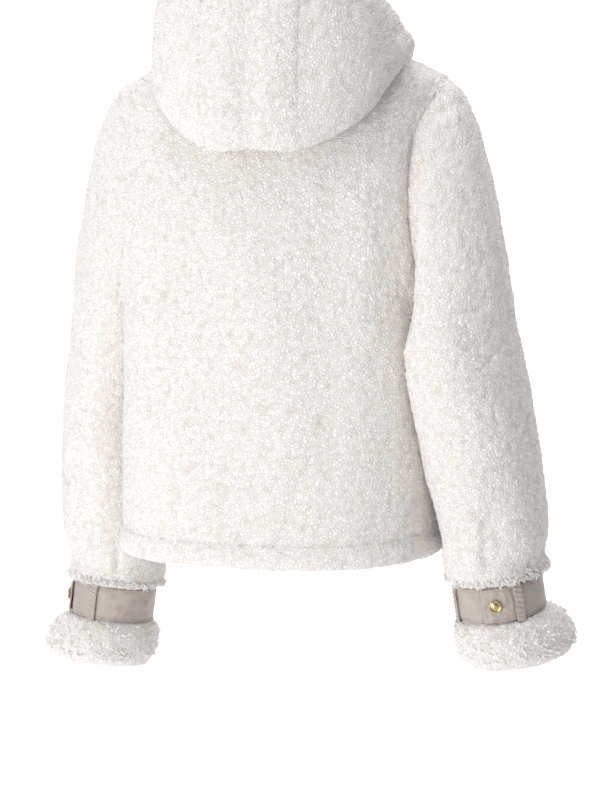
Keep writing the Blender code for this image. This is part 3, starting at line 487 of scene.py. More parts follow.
# ---------------------------------------------------------------- hood
def hood_grid(first, last, columns, side):
    """Part of the hood between two rows of its table. Each thread starts on the panels'
    neck edge, stands up, rolls over, runs down the back, folds and climbs to the face
    edge. The grid is the cloth's outer side, which faces the panels before the fold."""
    row = np.linspace(first, last, columns + 1)
    neck = side * np.radians(read(HOOD, "neck", row))
    fan = side * np.radians(read(HOOD, "fan", row))
    over = (side < 0) * (np.cos(neck) < 0)  # the right end lies on the lapped front
    lift = over * placket_lift(body_point(neck, 1.0)[..., 0], 1.0)
    seat = body_point(neck, 1.0, lift)
    down = unit(body_point(neck, body_levels()[-2], lift) - seat)
    normal = unit(np.cross(unit(np.gradient(seat, axis=0)), down))
    normal *= np.sign(np.sum(normal * (seat + [0, 0, 0.3]), axis=1, keepdims=True))
    inner_start = seat + normal * HOOD_SEAT
    outer_start = inner_start + down * WALL
    outward = np.stack([np.sin(fan), np.cos(fan), 0 * fan], axis=-1)

    left = 1.0 if side > 0 else 0.0
    value = {name: read(HOOD, name, row) for name in HOOD[0][1:]}
    half = value["fold_half"]
    fold_r = value["fold_r"] + left * value["left_fold"]
    fold_z = value["fold_z"] - left * value["left_fold"]
    outer_r = value["outer_r"] + left * value["left_fold"]
    edge_r = value["edge_r"] + left * value["left_edge"]
    edge_z = value["edge_z"] + left * value["left_up"]
    z_seat = seat[:, 2]
    stations = [
        (0.55 * value["roll_r"] + 0.004, 0.35 * z_seat + 0.65 * value["roll_z"]),
        (value["roll_r"], value["roll_z"]),
        (0.5 * (value["roll_r"] + fold_r - half) + 0.005,
         0.45 * value["roll_z"] + 0.55 * fold_z),
        (fold_r - half, fold_z),
        (fold_r, fold_z - half),
        (fold_r + half, fold_z + 0.004),
        (outer_r, value["outer_z"]),
        (0.5 * (outer_r + edge_r) + 0.004, 0.45 * value["outer_z"] + 0.55 * edge_z),
        (edge_r, edge_z),
    ]
    knots = [outer_start]
    shift = np.array([HOOD_SHIFT, 0.0, 0.0])
    for number, (r, z) in enumerate(stations):
        point = seat * [1, 1, 0] + outward * r[:, None]
        point[:, 2] = z - LEAN * HOOD_LEAN * point[:, 0]
        slide = min(1.0, max(0.0, (number - 1) / 3))
        back = np.clip((point[:, 1:2] + 0.03) / 0.08, 0, 1)
        knots.append(point + slide * back * shift)
    at = np.linspace(0, len(stations), HOOD_ROWS + 1)
    grid = through(np.arange(len(knots), dtype=float), np.stack(knots), at).swapaxes(0, 1)
    return grid, unit(outer_start - inner_start)


def hood_walls():
    """The outer and inner grids of the hood's three pieces, by name."""
    left, left_start = hood_grid(GUSSET_ROW, 7.0, HOOD_COLUMNS, 1)
    right, right_start = hood_grid(GUSSET_ROW, 7.0, HOOD_COLUMNS, -1)
    half_l, start_l = hood_grid(0.0, GUSSET_ROW, GUSSET_COLUMNS // 2, 1)
    half_r, start_r = hood_grid(0.0, GUSSET_ROW, GUSSET_COLUMNS // 2, -1)
    centre = np.concatenate([half_r[:0:-1], half_l], axis=0)
    centre_start = np.concatenate([start_r[:0:-1], start_l], axis=0)
    right, right_start = right[::-1], right_start[::-1]
    whole = np.concatenate([right[:-1], centre, left[1:]], axis=0)
    starts = np.concatenate([right_start[:-1], centre_start, left_start[1:]], axis=0)
    normal = grid_normals(whole, -1, closed=False)
    normal[:, 0] = starts
    share = np.linspace(0, 1, HOOD_ROWS + 1)
    thick = WALL + HOOD_EDGE * np.exp(-(((1 - share) / HOOD_EDGE_WIDTH) ** 2))
    inside = whole - normal * thick[None, :, None]
    first, last = HOOD_COLUMNS, HOOD_COLUMNS + GUSSET_COLUMNS  # the seams
    cuts = {"hood_right": (0, first), "hood_left": (last, len(whole)), "hood_centre": (first, last)}
    return {name: (whole[a : b + 1], inside[a : b + 1]) for name, (a, b) in cuts.items()}


def grid_normals(grid, turn, closed):
    """Normals of a grid, from the cross product of its two directions. closed says that
    the first direction runs all round, and turn is -1 where the grid is a mirror image."""
    if closed:
        along = np.roll(grid, -1, axis=0) - np.roll(grid, 1, axis=0)
    else:
        along = np.gradient(grid, axis=0)
    return turn * unit(np.cross(along, np.gradient(grid, axis=1)))


# ================================================================ pile and cloth
STEP = 0.0026  # spacing of the pile's grid
CORE_STEP = 0.011  # spacing of the backing cloth's grid
CURL = 0.0078  # width of one tuft of the pile
CURL_HEIGHT = 0.0021
CLUMP_HEIGHT = 0.0010
BEAD = 0.0037  # width of one curl in a tuft
SEAM_DEPTH = 0.0005  # how far the pile sinks at a seam
SEAM_WIDTH = 0.0042
PROUD = 0.0050  # how far the back panel swells beside the sleeves below the shoulder
PROUD_WIDTH = 0.018
SLEEVE_SINK = 0.0040  # and how far they dip beside it
SHOULDER_FILL = 0.0030  # the piles fill the seam by this at the shoulder
SKIRT_DEPTH = 0.0022  # past a seam the pile goes on under its neighbour: this much lower
SKIRT_REACH = 0.0035  # and this far
FIBRES = 26000.0  # locks to a square metre of pile
CUFF_FIBRES = 40000.0
HEM_FIBRES = 50000.0
LOCK_LENGTH = 0.0050
LOCK_WIDTH = 0.0007
BUNCH_WIDTH = 0.0011  # width of a lock in a bunch
BUNCH = 6  # locks to a bunch
BACKING_DEPTH = (0.0050, 0.0078)  # where the backing cloth lies below the pile's outside
THIN_DEPTH = (0.0032, 0.0050)  # and on pieces whose edge turns
BACKING_SHARE = (0.62, 0.97)  # but never deeper than these shares of the wall
LOCK_DROOP = 0.25  # how far a lock's end hangs down, as a share of its length
SEAM_LOCKS = 5  # times more locks right beside a seam
SEAM_LOCKS_WIDTH = 0.004
# A lock's shape: shares of its length and width, and its faces and tips by point.
STRIP_TAPER = ((0.0, 1.0), (0.36, 0.9), (0.72, 0.6))
STRIP_ROOT = 0.0010  # it starts this deep in the pile
STRIP_FACES = np.array([[0, 1, 3], [0, 3, 2], [2, 3, 5], [2, 5, 4], [4, 5, 6]])
# painted shade: each lock is darker towards its root, down in the pile
STRIP_TIPS = np.array([0.45, 0.45, 0.8, 0.8, 1.0, 1.0, 1.0])

# Creases in the pile, as straight lines on the surface: both ends,
# half width and height (a ridge is above 0).
CREASES = {
    "sleeve_right": (
        (-0.158, 0.107, -0.082, -0.188, 0.085, -0.052, 0.0080, -0.0038),
        (-0.188, 0.085, -0.052, -0.222, 0.040, -0.043, 0.0080, -0.0036),
        (-0.195, 0.100, -0.100, -0.200, 0.125, -0.290, 0.0140, 0.0030),
        (-0.232, 0.130, -0.278, -0.290, 0.105, -0.262, 0.0055, -0.0030),
        (-0.226, 0.118, -0.150, -0.262, 0.098, -0.165, 0.0060, -0.0032),
        (-0.200, 0.095, -0.095, -0.238, 0.070, -0.090, 0.0070, -0.0028),
        (-0.276, 0.080, -0.160, -0.300, 0.075, -0.235, 0.0050, 0.0022),
        (-0.240, 0.132, -0.350, -0.300, 0.105, -0.318, 0.0060, -0.0030),
        (-0.235, 0.128, -0.425, -0.285, 0.112, -0.400, 0.0060, -0.0028),
        (-0.290, 0.075, -0.480, -0.320, 0.050, -0.430, 0.0065, -0.0030),
        (-0.268, 0.098, -0.515, -0.266, 0.088, -0.575, 0.0055, -0.0040),
        (-0.300, 0.075, -0.520, -0.298, 0.066, -0.578, 0.0050, -0.0036),
        (-0.235, 0.098, -0.520, -0.240, 0.080, -0.580, 0.0055, -0.0036),
        (-0.326, 0.035, -0.525, -0.318, 0.028, -0.580, 0.0050, -0.0034),
        (-0.300, -0.030, -0.515, -0.295, -0.025, -0.578, 0.0055, -0.0036),
        (-0.255, -0.035, -0.520, -0.258, -0.028, -0.575, 0.0055, -0.0036),
        (-0.300, -0.010, -0.300, -0.260, -0.030, -0.330, 0.0060, -0.0030),
    ),
    "sleeve_left": (
        (0.235, 0.020, -0.260, 0.285, -0.005, -0.230, 0.0060, -0.0030),
        (0.215, 0.012, -0.350, 0.280, 0.000, -0.385, 0.0060, -0.0030),
        (0.240, 0.000, -0.470, 0.300, -0.030, -0.430, 0.0060, -0.0030),
        (0.200, 0.060, -0.110, 0.240, 0.050, -0.150, 0.0070, -0.0030),
        (0.262, -0.035, -0.585, 0.262, -0.048, -0.645, 0.0055, -0.0040),
        (0.300, -0.060, -0.585, 0.298, -0.070, -0.642, 0.0050, -0.0036),
        (0.230, -0.045, -0.590, 0.236, -0.060, -0.645, 0.0055, -0.0036),
        (0.305, -0.110, -0.590, 0.300, -0.115, -0.645, 0.0055, -0.0036),
        (0.270, -0.165, -0.590, 0.268, -0.160, -0.645, 0.0055, -0.0036),
        (0.235, -0.160, -0.350, 0.290, -0.130, -0.390, 0.0060, -0.0030),
    ),
    "back_panel": (
        (-0.150, 0.105, -0.085, -0.120, 0.118, -0.135, 0.0080, -0.0026),
        (-0.168, 0.105, -0.290, -0.140, 0.120, -0.350, 0.0085, -0.0022),
        (0.135, 0.115, -0.120, 0.160, 0.100, -0.200, 0.0090, -0.0024),
        (-0.060, 0.135, -0.470, -0.040, 0.138, -0.550, 0.0090, -0.0022),
        (0.100, 0.130, -0.460, 0.085, 0.135, -0.550, 0.0090, -0.0020),
    ),
    "front_right": (
        (-0.150, -0.090, -0.130, -0.110, -0.105, -0.200, 0.0080, -0.0024),
        (-0.120, -0.120, -0.420, -0.100, -0.128, -0.520, 0.0080, -0.0022),
    ),
    "front_left": (
        (0.150, -0.090, -0.130, 0.105, -0.108, -0.190, 0.0080, -0.0024),
        (0.130, -0.118, -0.300, 0.080, -0.128, -0.360, 0.0080, -0.0022),
    ),
    "hood_right": (
        (-0.118, 0.115, 0.006, -0.136, 0.090, 0.014, 0.0060, -0.0032),
        (-0.100, 0.150, -0.035, -0.128, 0.112, -0.012, 0.0070, -0.0024),
    ),
    "hood_left": (
        (0.092, 0.135, -0.020, 0.110, 0.105, 0.000, 0.0070, -0.0026),
    ),
    "hood_centre": (
        (-0.020, 0.178, 0.040, 0.014, 0.180, 0.018, 0.0060, -0.0020),
    ),
}


# The cut of each piece: width, length and flat area without seam allowances.
CUT = {
    "back_panel": (0.56, 0.60, 0.276),
    "front_left": (0.30, 0.56, 0.132),
    "front_right": (0.31, 0.56, 0.133),
    "sleeve_left": (0.48, 0.62, 0.219),
    "sleeve_right": (0.48, 0.57, 0.207),
    "cuff_left": (0.42, 0.10, 0.0333),
    "cuff_right": (0.42, 0.10, 0.0335),
    "hem_band": (1.14, 0.028, 0.0304),
    "hood_left": (0.25, 0.41, 0.068),
    "hood_right": (0.25, 0.41, 0.070),
    "hood_centre": (0.13, 0.42, 0.048),
}


def refine(grid, step, closed):
    """The grid at an even spacing: a smooth curve through its rows, then its columns.
    closed says that the first direction runs all round. Values past the third ride along."""
    for axis in (1, 0):
        rows = np.moveaxis(grid, axis, 0)
        wrap = closed and axis == 0
        if wrap:
            rows = np.concatenate([rows[-2:], rows, rows[:3]])
        gaps = np.linalg.norm(np.diff(rows[..., :3], axis=0), axis=-1).mean(axis=1)
        knots = np.concatenate([[0.0], np.cumsum(gaps)])
        first, last = (knots[2], knots[-3]) if wrap else (knots[0], knots[-1])
        count = max(3, round((last - first) / step))
        at = np.linspace(first, last, count + 1)
        at = at[:-1] if wrap else at
        grid = np.moveaxis(through(knots, rows, at), 0, axis)
    return grid


def turned_edge(outer, inner, rows):
    """A grid carried on past its last row: round the edge in a half circle and back along
    the inner side for some rows."""
    radius = np.linalg.norm(outer[:, -1] - inner[:, -1], axis=-1)[:, None] / 2
    up = unit(outer[:, -1] - inner[:, -1])
    on = unit(outer[:, -1] - outer[:, -2])
    middle = (outer[:, -1] + inner[:, -1]) / 2 - on * radius * 0.55
    bend = [middle + radius * (up * math.cos(t) + on * math.sin(t)) for t in (0.8, 1.57, 2.34)]
    back = [inner[:, -1 - row] for row in range(1, rows + 1)]
    return np.concatenate([outer[:, :-1], np.stack(bend + back, axis=1)], axis=1)


def scatter(cell, salt):
    """Three even numbers between 0 and 1 for each cell of three whole numbers."""
    n = (cell[..., 0] * 73856093) ^ (cell[..., 1] * 19349663) ^ (cell[..., 2] * 83492791)
    n = (n + salt * 2654435761) & 0xFFFFFFFF
    out = []
    for _ in range(3):
        n = ((n ^ (n >> 15)) * 2246822519) & 0xFFFFFFFF
        n = ((n ^ (n >> 13)) * 3266489917) & 0xFFFFFFFF
        n = n ^ (n >> 16)
        out.append((n & 0xFFFFFF) / 16777215.0)
    return np.stack(out, axis=-1)


def nearest(points, size, salt):
    """Distances, in cells, to the nearest and second nearest of points scattered one to
    each cell of a cubic grid."""
    place = points / size
    base = np.floor(place).astype(np.int64)
    first = np.full(len(place), 9.0)
    second = first.copy()
    for corner in np.ndindex(3, 3, 3):
        cell = base + np.array(corner) - 1
        gap = np.linalg.norm(cell + scatter(cell, salt) - place, axis=-1)
        second = np.minimum(second, np.maximum(first, gap))
        first = np.minimum(first, gap)
    return first, second


def clouds(points, size, salt):
    """Three smooth noises from -1 to 1: random values at the corners of a cubic grid."""
    place = points / size
    base = np.floor(place).astype(np.int64)
    t = place - base
    t = t * t * (3 - 2 * t)
    total = np.zeros(points.shape)
    for corner in np.ndindex(2, 2, 2):
        share = np.prod(np.where(np.array(corner) == 1, t, 1 - t), axis=-1)
        total += share[..., None] * scatter(base + corner, salt)
    return 2 * total - 1


def crease_push(points, name):
    """The height that the creases of a piece add at some points."""
    push = np.zeros(points.shape[:-1])
    for x1, y1, z1, x2, y2, z2, half, high in CREASES.get(name, ()):
        start, end = np.array([x1, y1, z1]), np.array([x2, y2, z2])
        along = end - start
        t = ((points - start) @ along) / (along @ along)
        held = np.clip(t, 0, 1)[..., None]
        gap = np.linalg.norm(points - start - held * along, axis=-1)
        fade = np.sin(math.pi * np.clip(0.12 + 0.76 * t, 0, 1)) ** 0.5
        push += high * fade * np.exp(-((gap / half) ** 2))
    return push


def armhole_step(grid, name):
    """The back panel swells beside the armholes and rounds down at its edge, a little over
    the sleeves, which dip beside it. At the shoulder both piles fill the seam instead."""
    if name == "back_panel":
        far = edge_distance(grid, ("start", "end"))
        step = PROUD * np.exp(-(((far - 0.010) / PROUD_WIDTH) ** 2))
    elif name.startswith("sleeve"):
        far = edge_distance(grid, ("low",))
        behind = np.clip(grid[..., 1] / 0.08, 0, 1)
        step = -SLEEVE_SINK * behind * far / 0.014 * np.exp(1 - far / 0.014)
    else:
        return 0.0
    below = np.clip((-0.020 - grid[..., 2]) / 0.09, 0, 1)
    return step * below + SHOULDER_FILL * (1 - below) * np.exp(-((far / 0.009) ** 2))


def edge_distance(grid, edges):
    """How far each point of a grid is from the nearest of the named edges."""
    far = np.full(grid.shape[:2], 1.0)
    for axis, low, high in ((0, "start", "end"), (1, "low", "high")):
        gaps = np.linalg.norm(np.diff(grid, axis=axis), axis=-1)
        pad = [(0, 0), (0, 0)]
        pad[axis] = (1, 0)
        length = np.pad(np.cumsum(gaps, axis=axis), pad)
        whole = length[-1:, :] if axis == 0 else length[:, -1:]
        if low in edges:
            far = np.minimum(far, length)
        if high in edges:
            far = np.minimum(far, whole - length)
    return far


def mesh_object(name, points, faces, finish):
    """A mesh object from arrays of points and faces, with its material."""
    mesh = bpy.data.meshes.new(name)
    size = faces.shape[1]
    mesh.vertices.add(len(points))
    mesh.vertices.foreach_set("co", np.ascontiguousarray(points, dtype=np.float32).ravel())
    mesh.loops.add(faces.size)
    mesh.loops.foreach_set("vertex_index", np.ascontiguousarray(faces, dtype=np.int32).ravel())
    mesh.polygons.add(len(faces))
    mesh.polygons.foreach_set("loop_start", np.arange(0, faces.size, size, dtype=np.int32))
    mesh.update(calc_edges=True)
    mesh.validate()
    mesh.shade_smooth()
    mesh.materials.append(finish)
    made = bpy.data.objects.new(name, mesh)
    bpy.context.scene.collection.objects.link(made)
    return made


def paint(piece, name, values):
    """A number for each point of a piece, for its material to read."""
    layer = piece.data.attributes.new(name, "FLOAT", "POINT")
    layer.data.foreach_set("value", np.ascontiguousarray(values, dtype=np.float32).ravel())


def numbered(count, rows, closed):
    """The points' numbers on a grid, whose first row comes again at the end of a ring."""
    number = np.arange(count * rows).reshape(count, rows)
    return np.concatenate([number, number[:1]]) if closed else number


def quads(a, b, c, d, turn):
    """Quads from four arrays of corners, the other way round where turn is -1."""
    corners = [a.ravel(), b.ravel(), c.ravel(), d.ravel()]
    return np.stack(corners if turn > 0 else corners[::-1], axis=1)


def sheet_faces(count, rows, closed, turn):
    """The quads of a grid, facing the way that its normals point."""
    number = numbered(count, rows, closed)
    return quads(number[:-1, :-1], number[1:, :-1], number[1:, 1:], number[:-1, 1:], turn)


def wall_faces(count, rows, closed, turn):
    """The quads of a closed wall: a grid, its inner copy and strips along open edges."""
    number = numbered(count, rows, closed)
    under = number + count * rows
    faces = [
        quads(number[:-1, :-1], number[1:, :-1], number[1:, 1:], number[:-1, 1:], turn),
        quads(under[:-1, :-1], under[:-1, 1:], under[1:, 1:], under[1:, :-1], turn),
        quads(number[:-1, 0], under[:-1, 0], under[1:, 0], number[1:, 0], turn),
        quads(number[:-1, -1], number[1:, -1], under[1:, -1], under[:-1, -1], turn),
    ]
    if not closed:
        faces.append(quads(number[0, :-1], number[0, 1:], under[0, 1:], under[0, :-1], turn))
        faces.append(quads(number[-1, :-1], under[-1, :-1], under[-1, 1:], number[-1, 1:], turn))
    return np.concatenate(faces)


def joined(parts):
    """Several pieces' arrays as one: points, faces and any more by point."""
    start = np.cumsum([0] + [len(part[0]) for part in parts[:-1]])
    faces = np.concatenate([part[1] + first for part, first in zip(parts, start)])
    points, *more = (np.concatenate(arrays) for i, arrays in enumerate(zip(*parts)) if i != 1)
    return points, faces, *more


def stand_for(name, slot, *pieces):
    """Puts pieces in a CAD node's place, which it hides, on the body. The slot is not used."""
    for piece in pieces:
        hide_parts(name)
        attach(piece, "root")


def full_pile(grid):
    """The pile's share of its height where nothing presses it."""
    return np.ones(grid.shape[:2])


def pile_surface(name, coarse, turn, closed, seams, calm):
    """The pile's outside on a grid, its points, normals and tips (0 in a crevice, 1 on a
    curl). seams are the edges where it sinks, and calm a share from 0, no curls, to 1."""
    grid = refine(coarse, STEP, closed)
    normal = grid_normals(grid, turn, closed)
    flat = grid.reshape(-1, 3)
    warp = flat + 0.0030 * clouds(flat, 0.0085, 3) + 0.0012 * clouds(flat, 0.0040, 4)
    first, second = nearest(warp, CURL, 5)
    dome = np.clip(1.0 - 1.15 * first * first, -0.35, 1.0)
    edge = np.clip((second - first) * 2.6, 0, 1)
    # the tips become painted shade in the pile's colour: low in crevices and where curls meet
    tips = np.clip(0.25 + 0.75 * dome, 0, 1) * (0.55 + 0.45 * edge)
    clump = clouds(flat, 0.024, 6)[:, 0] + 0.6 * clouds(flat, 0.055, 7)[:, 1]
    height = CURL_HEIGHT * (0.35 * dome + 0.65 * tips - 0.55) + CLUMP_HEIGHT * clump
    height = height.reshape(grid.shape[:2]) * calm(grid)
    far = edge_distance(grid, seams)
    height = height - SEAM_DEPTH * np.exp(-((far / SEAM_WIDTH) ** 2))
    height = height + armhole_step(grid, name)
    height = height + crease_push(grid, name)
    return grid + normal * height[..., None], normal, tips.reshape(grid.shape[:2])


def skirted(points, normal, tips, closed, edges):
    """The grid with one more row past each named edge, a little lower and
    further on, so that the piles of two sewn pieces meet."""
    for edge in edges:
        axis = 0 if edge in ("start", "end") else 1
        if closed and axis == 0:
            continue
        here, next_one = (0, 1) if edge in ("start", "low") else (-1, -2)
        row = np.take(points, [here], axis=axis)
        on = unit(row - np.take(points, [next_one], axis=axis))
        up = np.take(normal, [here], axis=axis)
        tip = np.take(tips, [here], axis=axis)
        # the extra row's tips are lower: painted shade where the pile goes under its neighbour
        parts = [(points, row - up * SKIRT_DEPTH + on * SKIRT_REACH), (normal, up), (tips, tip * 0.6)]
        parts = [(b, a) if here == 0 else (a, b) for a, b in parts]
        points, normal, tips = (np.concatenate(pair, axis=axis) for pair in parts)
    return points, tips


def locks(rows, weight, number, length, width, droop, bunch=1):
    """Strips that stand out of a pile, whose points, normals and tips are rows. Roots are
    scattered over its grid by area and weight, in bunches. Each strip is a curve in the
    plane of the normal and a random tangent that rolls over towards its end, of three
    segments, pointed. droop adds a share of downward lean. Returns points, faces, tips and
    normals, which light a single strip as part of the pile and a bunch's strips as its own."""
    points, normal, tips = rows
    a, b, c, d = points[:-1, :-1], points[1:, :-1], points[1:, 1:], points[:-1, 1:]
    share = np.linalg.norm(np.cross(c - a, d - b), axis=-1) * weight[:-1, :-1]
    share = share * np.clip(normal[:-1, :-1, 2] + 0.5, 0.02, 1)  # few on undersides
    number = int(number * (1.0)) // bunch
    pick = np.repeat(RNG.choice(share.size, size=number, p=share.ravel() / share.sum()), bunch)
    count = len(pick)
    u, v = (np.repeat(RNG.random((number, 1)), bunch, axis=0) for _ in range(2))
    low, high = (q.reshape(-1, 3)[pick] * (1 - u) + r.reshape(-1, 3)[pick] * u
                 for q, r in ((a, b), (d, c)))
    up = normal[:-1, :-1].reshape(-1, 3)[pick]
    around = unit(np.cross(up, np.repeat(RNG.normal(size=(number, 3)), bunch, axis=0)))
    around = unit(around + 0.45 * (bunch > 1) * RNG.normal(size=(count, 3)))
    root = low * (1 - v) + high * v + around * 0.0007 * (bunch > 1)
    lean = unit(around + np.array([0, 0, -droop]))
    lean = unit(lean - up * np.sum(lean * up, axis=1, keepdims=True) * 0.8)
    size = length * (0.6 + 0.8 * RNG.random((count, 1)))
    roll = 0.9 + 1.5 * RNG.random((count, 1))
    flat = unit(np.cross(up, lean) + 0.7 * RNG.normal(size=(count, 3)))
    strip = []
    for t, wide in STRIP_TAPER:
        angle = roll * t
        point = root + size / roll * (up * np.sin(angle) + lean * (1 - np.cos(angle)))
        half = flat * (width / 2 * wide)
        strip += [point - up * STRIP_ROOT - half, point - up * STRIP_ROOT + half]
    strip.append(root + size / roll * (up * np.sin(roll) + lean * (1 - np.cos(roll))))
    strip = np.stack(strip, axis=1)
    lit = unit(np.where(up[:, 2:] < 0, up * (1, 1, 0.15), up) + (0, 0, 0.02))
    corners = STRIP_FACES
    one, two, three = (strip[:, corners[:, i]] for i in range(3))
    bend = np.cross(two - one, three - one)
    over = np.sum(bend * lit[:, None], axis=-1, keepdims=True) > 0
    bend = np.where(over, bend, -bend)
    own = np.zeros_like(strip)
    for i, corner in enumerate(corners):
        own[:, corner] += bend[:, i : i + 1]
    faces = np.where(over, corners[None], corners[None, :, ::-1]) + 7 * np.arange(count)[:, None, None]
    faces = faces.reshape(-1, 3)
    # painted shade: lower at a lock's root and where the root sits in a crevice
    tip = 0.45 + 0.55 * tips[:-1, :-1].ravel()[pick][:, None] * STRIP_TIPS
    shade = unit(own) if bunch > 1 else np.repeat(lit[:, None], 7, axis=1)
    return strip.reshape(-1, 3), faces, tip.ravel(), shade.reshape(-1, 3)


# ================================================================ materials
def linear(code):
    """A linear colour from sRGB hex."""
    values = [int(code[i : i + 2], 16) / 255 for i in (0, 2, 4)]
    return (*[v / 12.92 if v <= 0.04045 else ((v + 0.055) / 1.055) ** 2.4 for v in values], 1.0)


def new_material(name):
    """A material with nodes, its tree and its Principled shader."""
    made = bpy.data.materials.new(name)
    made.use_nodes = True
    tree = made.node_tree
    return made, tree, tree.nodes["Principled BSDF"]


def plug(tree, made, inputs):
    """Sets or links a node's inputs: values, sRGB hex colours or other nodes' outputs, by
    socket name with _ for a space, or s0, s1 and so on by number."""
    for name, value in inputs.items():
        socket = made.inputs[int(name[1:])] if name[1:].isdigit() else made.inputs[name.replace("_", " ")]
        if isinstance(value, bpy.types.NodeSocket):
            tree.links.new(value, socket)
        else:
            socket.default_value = linear(value) if isinstance(value, str) else value


def node(tree, kind, settings=None, stops=(), **inputs):
    """Adds a node with its settings, a colour ramp's stops and its inputs."""
    made = tree.nodes.new(kind)
    for name, value in (settings or {}).items():
        setattr(made, name, value)
    for number, (place, code) in enumerate(stops):
        points = made.color_ramp.elements
        point = points[number] if number < len(points) else points.new(place)
        point.position, point.color = place, linear(code)
    plug(tree, made, inputs)
    return made


COLOUR_MIX = {"data_type": "RGBA"}


def sherpa_material():
    """White acrylic sherpa: curls 4 mm wide as rounded beads with wriggly crevices between
    them, fibres of 1 mm in the bump, painted shade that greys the crevices and the
    pile's low places, and light that carries a little way through the pile."""
    made, tree, shader = new_material("white_acrylic_sherpa")
    place = node(tree, "ShaderNodeTexCoord").outputs["Object"]
    tip = node(tree, "ShaderNodeAttribute", {"attribute_name": "tip"}).outputs["Fac"]
    bend = node(tree, "ShaderNodeTexNoise", Vector=place, Scale=150.0, Detail=3.0)
    warped = node(tree, "ShaderNodeVectorMath", {"operation": "MULTIPLY_ADD"},
                  s0=bend.outputs["Color"], s1=(0.0065,) * 3, s2=place).outputs[0]
    cell = node(tree, "ShaderNodeTexVoronoi", {"feature": "DISTANCE_TO_EDGE"},
                Vector=warped, Scale=1 / BEAD, Randomness=1.0)
    bead = node(tree, "ShaderNodeMapRange", {"interpolation_type": "SMOOTHSTEP"},
                Value=cell.outputs["Distance"], From_Min=-0.10, From_Max=0.42).outputs[0]
    fibre = node(tree, "ShaderNodeTexNoise", Vector=place, Scale=800.0, Detail=2.0, Distortion=1.0)
    # painted shade: the pile is greyer down in it, where the tip value is low
    deep = node(tree, "ShaderNodeValToRGB", Fac=tip,
                stops=((0.0, "E6E2DF"), (0.4, "F3F0EE"), (0.8, "FAF8F7")))
    # painted shade: greyer along the edges between the beads
    crevice = node(tree, "ShaderNodeValToRGB", Fac=bead,
                   stops=((0.0, "D8D3CF"), (0.35, "EEEBE9"), (0.8, "FFFFFF")))
    colour = node(tree, "ShaderNodeMix", {"data_type": "RGBA", "blend_type": "MULTIPLY"},
                  s0=CREVICE_SHADE, s6=deep.outputs[0], s7=crevice.outputs[0])
    low = node(tree, "ShaderNodeBump", Strength=0.75, Distance=0.0012, Height=bead)
    bump = node(tree, "ShaderNodeBump", Strength=0.35, Distance=0.0005,
                Height=fibre.outputs["Fac"], Normal=low.outputs[0])
    plug(tree, shader, {
        "Base Color": colour.outputs[2], "Normal": bump.outputs[0], "Roughness": 0.92,
        "Specular IOR Level": 0.2, "Sheen Weight": 0.15, "Sheen Roughness": 0.6,
        "Subsurface Weight": SCATTER, "Subsurface Radius": (1.0, 0.95, 0.9),
        "Subsurface Scale": 0.0022})
    return made


def fibre_material():
    """The same acrylic as single locks, with more sheen and none of the pile's light carried beneath the
    surface.
    """
    made, tree, shader = new_material("white_acrylic_fibre")
    tip = node(tree, "ShaderNodeAttribute", {"attribute_name": "tip"}).outputs["Fac"]
    # painted shade: greyer where the tip value is low, towards a lock's root
    colour = node(tree, "ShaderNodeMix", COLOUR_MIX, s0=tip, s6="EAE6E3", s7="FFFEFD")
    plug(tree, shader, {"Base Color": colour.outputs[2], "Roughness": 0.95,
                        "Specular IOR Level": 0.15, "Sheen Weight": 0.3, "Sheen Roughness": 0.6})
    return made


def backing_material():
    """The sherpa's knitted backing: rows of fine stitches, 1.4 mm apart, off-white."""
    made, tree, shader = new_material("knitted_backing")
    place = node(tree, "ShaderNodeTexCoord").outputs["Object"]
    courses = node(tree, "ShaderNodeTexWave", {"bands_direction": "Z"},
                   Vector=place, Scale=230.0, Distortion=1.2, Detail=1.0)
    fibre = node(tree, "ShaderNodeTexNoise", Vector=place, Scale=900.0, Detail=2.0)
    both = node(tree, "ShaderNodeMath", {"operation": "ADD"},
                s0=courses.outputs["Fac"], s1=fibre.outputs["Fac"]).outputs[0]
    half = node(tree, "ShaderNodeMath", {"operation": "MULTIPLY"}, s0=both, s1=0.5).outputs[0]
    colour = node(tree, "ShaderNodeMix", COLOUR_MIX, s0=half, s6="D3CCC3", s7="EFEBE5")
    bump = node(tree, "ShaderNodeBump", Strength=0.5, Distance=0.0005, Height=half)
    plug(tree, shader, {"Base Color": colour.outputs[2], "Normal": bump.outputs[0],
                        "Roughness": 0.9, "Sheen Weight": 0.15})
    return made


